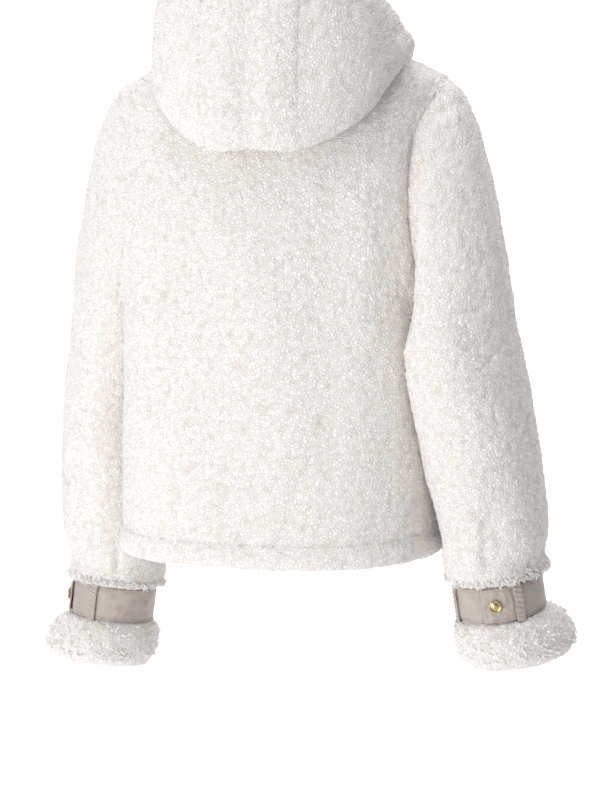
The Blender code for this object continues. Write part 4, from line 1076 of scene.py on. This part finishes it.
def nylon_material():
    """Taupe woven nylon: a plain weave of 0.6 mm, faint creases painted as light and shade, and a satin
    sheen.
    """
    made, tree, shader = new_material("taupe_nylon")
    uv = node(tree, "ShaderNodeUVMap", {"uv_map": "cloth"}).outputs["UV"]
    split = node(tree, "ShaderNodeSeparateXYZ", s0=uv)
    waves = []
    for axis in ("X", "Y"):
        turn = node(tree, "ShaderNodeMath", {"operation": "MULTIPLY"},
                    s0=split.outputs[axis], s1=2 * math.pi / 0.0006).outputs[0]
        waves.append(node(tree, "ShaderNodeMath", {"operation": "SINE"}, s0=turn).outputs[0])
    weave = node(tree, "ShaderNodeMath", {"operation": "MULTIPLY"}, s0=waves[0], s1=waves[1]).outputs[0]
    place = node(tree, "ShaderNodeTexCoord").outputs["Object"]
    # painted light and shade: a noise mixes the strap's shaded and lit taupe as faint creases
    cloud = node(tree, "ShaderNodeTexNoise", Vector=place, Scale=60.0, Detail=3.0, Distortion=0.6)
    colour = node(tree, "ShaderNodeMix", COLOUR_MIX, s0=cloud.outputs["Fac"], s6="9C8F89", s7="CDC3BD")
    slub = node(tree, "ShaderNodeMath", {"operation": "MULTIPLY_ADD"}, s0=weave, s1=0.12, s2=0.5)
    colour = node(tree, "ShaderNodeMix", COLOUR_MIX, s0=slub.outputs[0], s6=colour.outputs[2], s7="B9ADA7")
    bump = node(tree, "ShaderNodeBump", Strength=0.35, Distance=0.0002, Height=weave)
    plug(tree, shader, {"Base Color": colour.outputs[2], "Normal": bump.outputs[0],
                        "Roughness": 0.46, "Sheen Weight": 0.2})
    return made


def thread_material():
    """Twisted polyester thread of the strap's colour, a little darker."""
    made, tree, shader = new_material("polyester_thread")
    place = node(tree, "ShaderNodeTexCoord").outputs["Object"]
    ply = node(tree, "ShaderNodeTexNoise", Vector=place, Scale=2500.0, Detail=1.0)
    colour = node(tree, "ShaderNodeMix", COLOUR_MIX, s0=ply.outputs["Fac"], s6="8E827C", s7="B5A9A3")
    plug(tree, shader, {"Base Color": colour.outputs[2], "Roughness": 0.5})
    return made


def gold_material():
    """Polished gold-plated brass whose colour and roughness vary with a fine noise."""
    made, tree, shader = new_material("gold_plated_brass")
    place = node(tree, "ShaderNodeTexCoord").outputs["Object"]
    wear = node(tree, "ShaderNodeTexNoise", Vector=place, Scale=900.0, Detail=3.0)
    colour = node(tree, "ShaderNodeMix", COLOUR_MIX, s0=wear.outputs["Fac"], s6="A8956A", s7="D9CCA6")
    rough = node(tree, "ShaderNodeMapRange", Value=wear.outputs["Fac"], To_Min=0.13, To_Max=0.27)
    plug(tree, shader, {"Base Color": colour.outputs[2], "Roughness": rough.outputs[0], "Metallic": 1.0})
    return made


SCATTER = 0.25  # share of the light that carries through the pile
CREVICE_SHADE = 0.75  # how much of the painted shade along the crevices shows
SHERPA = sherpa_material()
FIBRE = fibre_material()
BACKING = backing_material()
NYLON = nylon_material()
THREAD = thread_material()
GOLD = gold_material()


# ================================================================ sherpa pieces
RNG = np.random.default_rng(11)


def wrist_drop(side, grid):
    """How far each point lies down along the wrist from the middle of the strap."""
    centre, axis = wrist(side)
    return (grid - centre) @ axis


def near_strap(side):
    """The pile's share of its full height on a sleeve or cuff: none under the strap."""
    def share(grid):
        far = np.abs(wrist_drop(side, grid)) - STRAP_WIDTH / 2
        return np.clip((far + 0.0005) / 0.006, 0, 1) ** 0.7

    return share


def at_drop(side, drop, half):
    """A weight for locks: 1 at a distance down the wrist, and less away from it."""
    return lambda grid: np.exp(-(((wrist_drop(side, grid) - drop) / half) ** 2))


def at_row(place, half):
    """A weight for locks: 1 at a share of the way along a grid's second direction."""
    def weight(grid):
        row = np.linspace(0, 1, grid.shape[1])[None, :] + 0 * grid[..., 0]
        return np.exp(-(((row - place) / half) ** 2))

    return weight


def sherpa_piece(name, outer, inner, turn, closed, seams, wrap=None, calm=full_pile, fibres=FIBRES,
                 core=BACKING_DEPTH, extra=()):
    """One sewn piece of sherpa: a closed wall of backing, the pile over it, and the fibres
    that stand out of the pile. wrap is the edge at which the pile turns to the inner side,
    and for how many rows. fibres is the number to a square metre, extra gives bunches."""
    thick = np.linalg.norm(outer - inner, axis=-1, keepdims=True)
    way = (inner - outer) / thick
    both = [outer + way * np.minimum(depth, thick * share)
            for depth, share in zip(core, BACKING_SHARE)]
    top, low = np.split(refine(np.concatenate(both, axis=-1), CORE_STEP, closed), 2, axis=-1)
    points = np.concatenate([top.reshape(-1, 3), low.reshape(-1, 3)])
    cloth = mesh_object(name + "_cloth", points, wall_faces(*top.shape[:2], closed, turn), BACKING)
    coarse = outer
    if wrap and wrap[0] == "high":
        coarse = turned_edge(outer, inner, wrap[1])
    elif wrap:
        coarse = turned_edge(outer.swapaxes(0, 1), inner.swapaxes(0, 1), wrap[1]).swapaxes(0, 1)
    pile, normal, tips = pile_surface(name, coarse, turn, closed, seams, calm)
    skirt, skirt_tips = skirted(pile, normal, tips, closed, ("start", "end", "low", "high"))
    surface = mesh_object(name + "_pile", skirt.reshape(-1, 3),
                          sheet_faces(*skirt.shape[:2], closed, turn), SHERPA)
    # tip values, which the pile's colour turns into painted shade
    paint(surface, "tip", skirt_tips.ravel())
    ring = [0] if closed else []
    rows = [np.concatenate([a, a[ring]]) for a in (pile, normal, tips)]
    width, length, area = CUT[name]
    near_seam = np.exp(-((edge_distance(rows[0], seams) / SEAM_LOCKS_WIDTH) ** 2))
    strips = [locks(rows, calm(rows[0]) * (1 + SEAM_LOCKS * near_seam), area * fibres,
                    LOCK_LENGTH, LOCK_WIDTH, LOCK_DROOP)]
    for weight, number, reach, droop in extra:
        strips.append(locks(rows, weight(rows[0]), number, reach, BUNCH_WIDTH, droop, BUNCH))
    points, faces, shade, facing = joined(strips)
    fluff = mesh_object(name + "_fibres", points, faces, FIBRE)
    paint(fluff, "tip", shade)
    fluff.data.normals_split_custom_set_from_vertices(facing)
    stand_for(name, "sherpa", cloth, surface, fluff)


def build_cloth():
    """Makes every sherpa piece."""
    for name, outer, turn, seams, wrap in (
            ("back_panel", back_grid(), -1, ("start", "end", "low", "high"), None),
            ("front_left", front_grid(1), -1, ("start", "low", "high"), ("end", 1)),
            ("front_right", front_grid(-1), 1, ("start", "low", "high"), ("end", 1))):
        inner = outer - grid_normals(outer, turn, False) * WALL
        sherpa_piece(name, outer, inner, turn, False, seams, wrap)
    for side, word in SIDES:
        outer = sleeve_grid(side)
        inner = outer - grid_normals(outer, side, True) * WALL
        over_strap = (at_drop(side, -0.0305, 0.0035), 4200, 0.0060, 1.2)
        sherpa_piece("sleeve_" + word, outer, inner, side, True, ("low",), calm=near_strap(side),
                     extra=(over_strap,))
        outer = cuff_grid(side)
        inner = outer - grid_normals(outer, side, True) * WALL
        flare = ((at_drop(side, 0.064, 0.010), 5400, 0.0065, 0.9),
                 (at_drop(side, 0.046, 0.014), 2400, 0.0055, 0.4))
        sherpa_piece("cuff_" + word, outer, inner, side, True, (), ("high", 6), near_strap(side),
                     CUFF_FIBRES, THIN_DEPTH, flare)
    band = hem_grid()[:, ::-1]
    inner = band - grid_normals(hem_grid(), -1, False)[:, ::-1] * WALL
    bottom = (at_row(0.60, 0.12), 6000, 0.0065, 1.0)
    sherpa_piece("hem_band", band, inner, 1, False, ("low",), ("high", 3), fibres=HEM_FIBRES,
                 core=THIN_DEPTH, extra=(bottom,))
    seams = {"hood_centre": ("start", "end", "low"), "hood_left": ("start", "low"),
             "hood_right": ("end", "low")}
    for name, (outer, inner) in hood_walls().items():
        sherpa_piece(name, outer, inner, -1, False, seams[name], ("high", 2))


build_cloth()


# ================================================================ straps, loops and snaps
STITCH_THREAD = 0.0006
STITCH_PITCH = 0.0031
STITCH_LENGTH = 0.0024
LOOP_FOLDS = 24.0  # radians of diagonal folds over half of a belt loop
LOOP_PAST = 0.0025  # each end passes the strap's edge by this
# Half of a snap cap's section, as shares of its radius and height, from the middle over the
# domed face, a groove and the rolled rim to the underside.
SNAP_SECTION = np.array([
    (0.0, 0.90), (0.22, 0.88), (0.42, 0.78), (0.56, 0.64), (0.66, 0.57), (0.72, 0.68), (0.77, 0.90),
    (0.83, 0.99), (0.89, 0.98), (0.95, 0.88), (0.99, 0.68), (1.0, 0.48), (0.97, 0.26), (0.90, 0.10),
    (0.80, 0.02), (0.0, 0.0)])
SNAP_SIDES = 48
SNAP_RINGS = 36


def tube_faces(count, rows, turn):
    """The quads of a grid that is closed in its second direction, with both ends capped by
    quads across the section."""
    number = np.arange(count * rows).reshape(count, rows)
    number = np.concatenate([number, number[:, :1]], axis=1)
    faces = [quads(number[:-1, :-1], number[1:, :-1], number[1:, 1:], number[:-1, 1:], turn)]
    low = np.arange(rows // 2 - 1)
    for end, way in ((0, -1), (count - 1, 1)):
        ring = end * rows + np.stack([low, low + 1, rows - 2 - low, rows - 1 - low], axis=1)
        faces.append(ring if way * turn < 0 else ring[:, ::-1])
    return np.concatenate(faces)


def strap_section(width, thick, steps):
    """A flat strap's section as offsets across it and heights: the outer face and then the
    inner one, with rounded edges."""
    share = np.linspace(-1, 1, steps)
    across = np.sign(share) * (1 - (1 - np.abs(share)) ** 1.25) * width / 2
    crown = np.sqrt(np.clip(1 - np.abs(share) ** 14, 0, 1))
    top = thick * (0.5 + 0.5 * crown)
    low = thick * (0.5 - 0.5 * crown)
    return np.concatenate([across, across[::-1]]), np.concatenate([top, low[::-1]])


def strap_points(side, along, across, height):
    """Points on a cuff strap: along in degrees from its start, across from its middle line
    and height over its inner side."""
    climb = np.clip((along - (360.0 - STRAP_CLIMB)) / STRAP_CLIMB, 0, 1)
    lift = STRAP_GAP + climb * climb * (3 - 2 * climb) * (STRAP_THICK + STRAP_GAP)
    angle = strap_angle(side, TAB_END + 360.0 + STRAP_LAP - along)
    return wrist_point(side, angle, across, lift + height)


def stitch_row(points, outward):
    """A row of stitches along a line of points: each is a short rounded bar of six sides,
    half sunk into the cloth. Returns points and faces."""
    gap = np.linalg.norm(np.diff(points, axis=0), axis=1)
    walk = np.concatenate([[0.0], np.cumsum(gap)])
    starts = np.arange(STITCH_PITCH / 2, walk[-1] - STITCH_LENGTH, STITCH_PITCH)
    at = starts[:, None] + STITCH_LENGTH * np.linspace(0, 1, 5)
    middle = through(walk, points, at)
    up = unit(through(walk, outward, at))
    ahead = unit(np.gradient(middle, axis=1))
    side = np.cross(ahead, up)
    wide = STITCH_THREAD / 2 * np.array([0.35, 0.9, 1.0, 0.9, 0.35])
    high = STITCH_THREAD * 0.45 * np.array([-0.5, 0.6, 0.9, 0.6, -0.5])
    turn = np.arange(6) * math.pi / 3
    ring = (middle + up * high[None, :, None])[:, :, None, :]
    ring = ring + wide[None, :, None, None] * (
        side[:, :, None, :] * np.cos(turn)[None, None, :, None]
        + up[:, :, None, :] * np.sin(turn)[None, None, :, None])
    count = len(starts)
    number = np.arange(count * 30).reshape(count, 5, 6)
    after = np.roll(number, -1, axis=2)
    quads = np.stack([number[:, :-1], number[:, 1:], after[:, 1:], after[:, :-1]], axis=-1)
    return ring.reshape(-1, 3), quads.reshape(-1, 4)


def cloth_map(piece, first, second):
    """The uv map of a strip from its two lengths, in metres, for each point."""
    layer = piece.data.uv_layers.new(name="cloth")
    corner = np.empty(len(piece.data.loops), dtype=np.int32)
    piece.data.loops.foreach_get("vertex_index", corner)
    pair = np.stack([first.ravel()[corner], second.ravel()[corner]], axis=1)
    layer.data.foreach_set("uv", pair.astype(np.float32).ravel())


def strap_piece(side, word):
    """A cuff strap with the puckers of its edge seams, soft creases and stitching."""
    name = "cuff_strap_" + word
    along = np.linspace(0, 360.0 + STRAP_LAP, 320)
    across, height = strap_section(STRAP_WIDTH - 0.0006, STRAP_THICK, 26)
    turns, offsets = np.broadcast_arrays(along[:, None], across[None, :])
    heights = np.broadcast_to(height[None, :], turns.shape)
    length = np.radians(turns) * WRIST_RADIUS
    flat = np.stack([length + 0.4 * offsets, offsets * 1.6, 0 * length + 0.01 * side], axis=-1)
    soft = clouds(flat.reshape(-1, 3), 0.011, 21)[:, 0].reshape(turns.shape)
    sharp = clouds(flat.reshape(-1, 3) * [1.0, 0.45, 1.0], 0.0045, 22)[:, 1].reshape(turns.shape)
    top = np.clip(heights / STRAP_THICK * 2 - 1, 0, 1)
    edge = STRAP_WIDTH / 2 - np.abs(offsets)
    left = np.radians(360.0 + STRAP_LAP - turns) * WRIST_RADIUS  # to the tab's end
    under = np.radians(STRAP_LAP - turns) * WRIST_RADIUS  # and to the same place on the base
    row = np.where(left < edge, left, edge)
    seam = np.exp(-(((row - 0.0030) / 0.0008) ** 2))
    pucker = np.exp(-((edge / 0.004) ** 2)) * np.sin(length / 0.0041 + 2.5 * soft) * 0.00018
    gap = length - np.radians(TAB_END + 360.0 + STRAP_LAP - SNAP_ANGLE) * WRIST_RADIUS
    reach = np.hypot(gap, offsets)
    rays = np.sin(7 * np.arctan2(offsets, gap) + 3 * soft) * np.exp(-(((reach - 0.011) / 0.009) ** 2))
    loop = length - np.radians(TAB_END + 360.0 + STRAP_LAP - LOOP_ANGLES[0]) * WRIST_RADIUS
    bunched = np.sin(loop / 0.0011 + 2 * soft) * np.exp(-((loop / 0.013) ** 2))
    push = top * (0.00065 * soft + 0.00036 * sharp - 0.00055 * seam + pucker - 0.00035)
    push = push + top * (0.00065 * rays + 0.00030 * bunched)
    push = push + 0.0009 * np.exp(-left / 0.004) - 0.0009 * top * np.exp(-((under / 0.004) ** 2))
    points = strap_points(side, turns, offsets, heights + push)
    strap = mesh_object(name + "_cloth", points.reshape(-1, 3),
                        tube_faces(len(along), len(across), -side), NYLON)
    cloth_map(strap, length, offsets)
    end = 360.0 + STRAP_LAP - math.degrees(0.0035 / WRIST_RADIUS)
    span = np.linspace(-1, 1, 40) * (STRAP_WIDTH / 2 - 0.0035)
    rows = [(along, place * (STRAP_WIDTH / 2 - 0.0033), 0.0005) for place in (-1, 1)]
    rows.append((np.full(40, end), span, 0.0004))
    parts = []
    for turns, across, sunk in rows:
        line, over = (strap_points(side, turns, across, STRAP_THICK + high) for high in (-sunk, 0.002))
        parts.append(stitch_row(line, over - line))
    thread = mesh_object(name + "_stitches", *joined(parts), THREAD)
    stand_for(name, "nylon", strap, thread)


def loop_piece(side, word, number, degrees):
    """A belt loop: a narrow folded strip that lies over the strap and dips at both ends."""
    name = f"belt_loop_{word}_{number}"
    share = np.linspace(-1, 1, 90)
    across, height = strap_section(LOOP_WIDTH, LOOP_THICK, 12)
    spread = np.degrees(across / WRIST_RADIUS)
    along, turn = np.broadcast_arrays(share[:, None], spread[None, :])
    rise = strap_top(degrees) + 0.0005 + 0.0011 * (1 - along ** 6)
    flat = np.stack([along * 0.02, turn * 0.001, 0 * along + degrees], axis=-1)
    crease = clouds((flat * [1, 0.5, 1]).reshape(-1, 3), 0.0050, 31)[:, 0].reshape(along.shape)
    top = np.clip(height[None, :] / LOOP_THICK * 2 - 1, 0, 1)
    twist = np.sin(along * LOOP_FOLDS + np.sign(side) * turn * 0.35 + 1.5 * crease)
    lift = rise + height[None, :] + top * (0.00030 * crease + 0.00060 * twist)
    drop = along * (STRAP_WIDTH / 2 + LOOP_PAST)
    points = wrist_point(side, strap_angle(side, degrees + turn), drop, lift)
    loop = mesh_object(name + "_cloth", points.reshape(-1, 3),
                       tube_faces(len(share), len(across), side), NYLON)
    cloth_map(loop, along * 0.02, np.radians(turn) * 0.05)
    stand_for(name, "nylon", loop)


def snap_piece(name, point, outward):
    """A snap cap: its section turned round the axis that points outward."""
    t = np.linspace(0, len(SNAP_SECTION) - 1, SNAP_RINGS)
    curve = through(np.arange(len(SNAP_SECTION), dtype=float), SNAP_SECTION, t)
    curve = curve * [SNAP_DIAMETER / 2, SNAP_HEIGHT]
    turn = np.arange(SNAP_SIDES) * 2 * math.pi / SNAP_SIDES
    axis = unit(np.asarray(outward, dtype=float))
    first = unit(np.cross(axis, [0.0, 0.0, 1.0]))
    second = np.cross(axis, first)
    ring = np.cos(turn)[:, None, None] * first + np.sin(turn)[:, None, None] * second
    points = np.asarray(point) + ring * curve[None, :, :1] + curve[None, :, 1:] * axis
    cap = mesh_object(name + "_cap", points.reshape(-1, 3),
                      sheet_faces(SNAP_SIDES, SNAP_RINGS, True, -1), GOLD)
    stand_for(name, "gold_plated_brass", cap)


def front_place(level):
    """A point on the raised front at the centre line, and the way that it faces."""
    lift = placket_lift(0.0, level)
    point = body_point(-math.pi, level, lift)
    side = body_point(-math.pi + 0.02, level, lift) - body_point(-math.pi - 0.02, level, lift)
    up = body_point(-math.pi, level + 0.01, lift) - body_point(-math.pi, level - 0.01, lift)
    outward = unit(np.cross(up, side))
    return point, outward * (1 if outward[1] < 0 else -1)


for side, word in SIDES:
    strap_piece(side, word)
    for number, degrees in enumerate(LOOP_ANGLES, 1):
        loop_piece(side, word, number, degrees)
    angle = strap_angle(side, SNAP_ANGLE)
    seat = strap_top(SNAP_ANGLE) + SNAP_GAP
    point = wrist_point(side, angle, 0.0, seat)
    snap_piece("cuff_snap_" + word, point, wrist_point(side, angle, 0.0, seat + 0.01) - point)
for number, level in enumerate(np.linspace(*FRONT_SNAP_LEVELS, FRONT_SNAPS), 1):
    point, outward = front_place(level)
    snap_piece(f"front_snap_{number}", point + SNAP_GAP * outward, outward)


# ================================================================ studio
def stage_material():
    """Matt white studio paper with a very faint tooth."""
    made, tree, shader = new_material("studio_paper")
    place = node(tree, "ShaderNodeTexCoord").outputs["Object"]
    tooth = node(tree, "ShaderNodeTexNoise", Vector=place, Scale=30.0, Detail=2.0)
    colour = node(tree, "ShaderNodeMix", COLOUR_MIX, s0=tooth.outputs["Fac"], s6="F9F9F9", s7="FFFFFF")
    plug(tree, shader, {"Base Color": colour.outputs[2], "Roughness": 0.9})
    return made


FLOOR = -1.42
SKY = 0.39
VIEW_TURN = math.radians(16.0)  # the camera stands this far round from straight behind
VIEW_AIM = (0.018, 0.0, -0.40)  # what it looks at: right, towards the camera, up
VIEW_PLACE = (0.018, 3.5, 0.09)
VIEW_LENS = 132.53
# The studio paper's section: towards the camera, up from the floor.
PAPER = ((4.0, 0.0), (-2.9, 0.0), (-3.4, 0.05), (-3.8, 0.2), (-4.1, 0.5), (-4.2, 0.9), (-4.2, 3.5))
# name, place (right, towards the camera, up), size, power and target
LIGHTS = (
    ("key", (-2.8, 1.4, 0.9), (1.3, 1.9), 16.0, (0.0, 0.0, -0.3)),
    ("low_key", (-2.0, 2.6, -0.8), (1.5, 1.2), 52.0, (0.0, 0.0, -0.3)),
    ("top", (0.0, 0.8, 2.6), (2.2, 2.2), 40.0, (0.0, 0.0, -0.3)),
    ("backdrop", (0.0, -1.7, 2.6), (5.0, 1.2), 190.0, (0.2, -4.1, -0.6)),
)


def seen(right, towards, up):
    """A place given as the camera sees it."""
    s, c = math.sin(VIEW_TURN), math.cos(VIEW_TURN)
    return np.array([-s * towards - c * right, c * towards - s * right, up])


def stand(name, data, place, target):
    """A camera or light at a place, turned towards its target."""
    made = bpy.data.objects.new(name, data)
    bpy.context.scene.collection.objects.link(made)
    made.location = place
    made.rotation_euler = Vector(np.asarray(target) - place).to_track_quat("-Z", "Y").to_euler()
    return made


def studio():
    """A pale floor that curves up into a backdrop, soft light and the camera."""
    rows = [[seen(across, away, FLOOR + up) for away, up in PAPER] for across in np.linspace(-4.5, 4.5, 10)]
    floor = mesh_object("studio_floor", np.array(rows).reshape(-1, 3),
                        sheet_faces(10, len(PAPER), False, 1), stage_material())
    camera = stand("camera", bpy.data.cameras.new("camera"), seen(*VIEW_PLACE), seen(*VIEW_AIM))
    camera.data.lens = VIEW_LENS
    camera.data.sensor_width = 36.0
    bpy.context.scene.camera = camera
    for name, place, size, power, target in LIGHTS:
        lamp = bpy.data.lights.new(name, "AREA")
        lamp.shape = "RECTANGLE"
        lamp.size, lamp.size_y = size
        lamp.energy = power
        stand(name, lamp, seen(*place), target)
    world = bpy.data.worlds.new("studio")
    world.use_nodes = True
    plug(world.node_tree, world.node_tree.nodes["Background"], {"Color": "FFFFFF", "Strength": SKY})
    bpy.context.scene.world = world
    bpy.context.scene.view_settings.view_transform = "Standard"


studio()
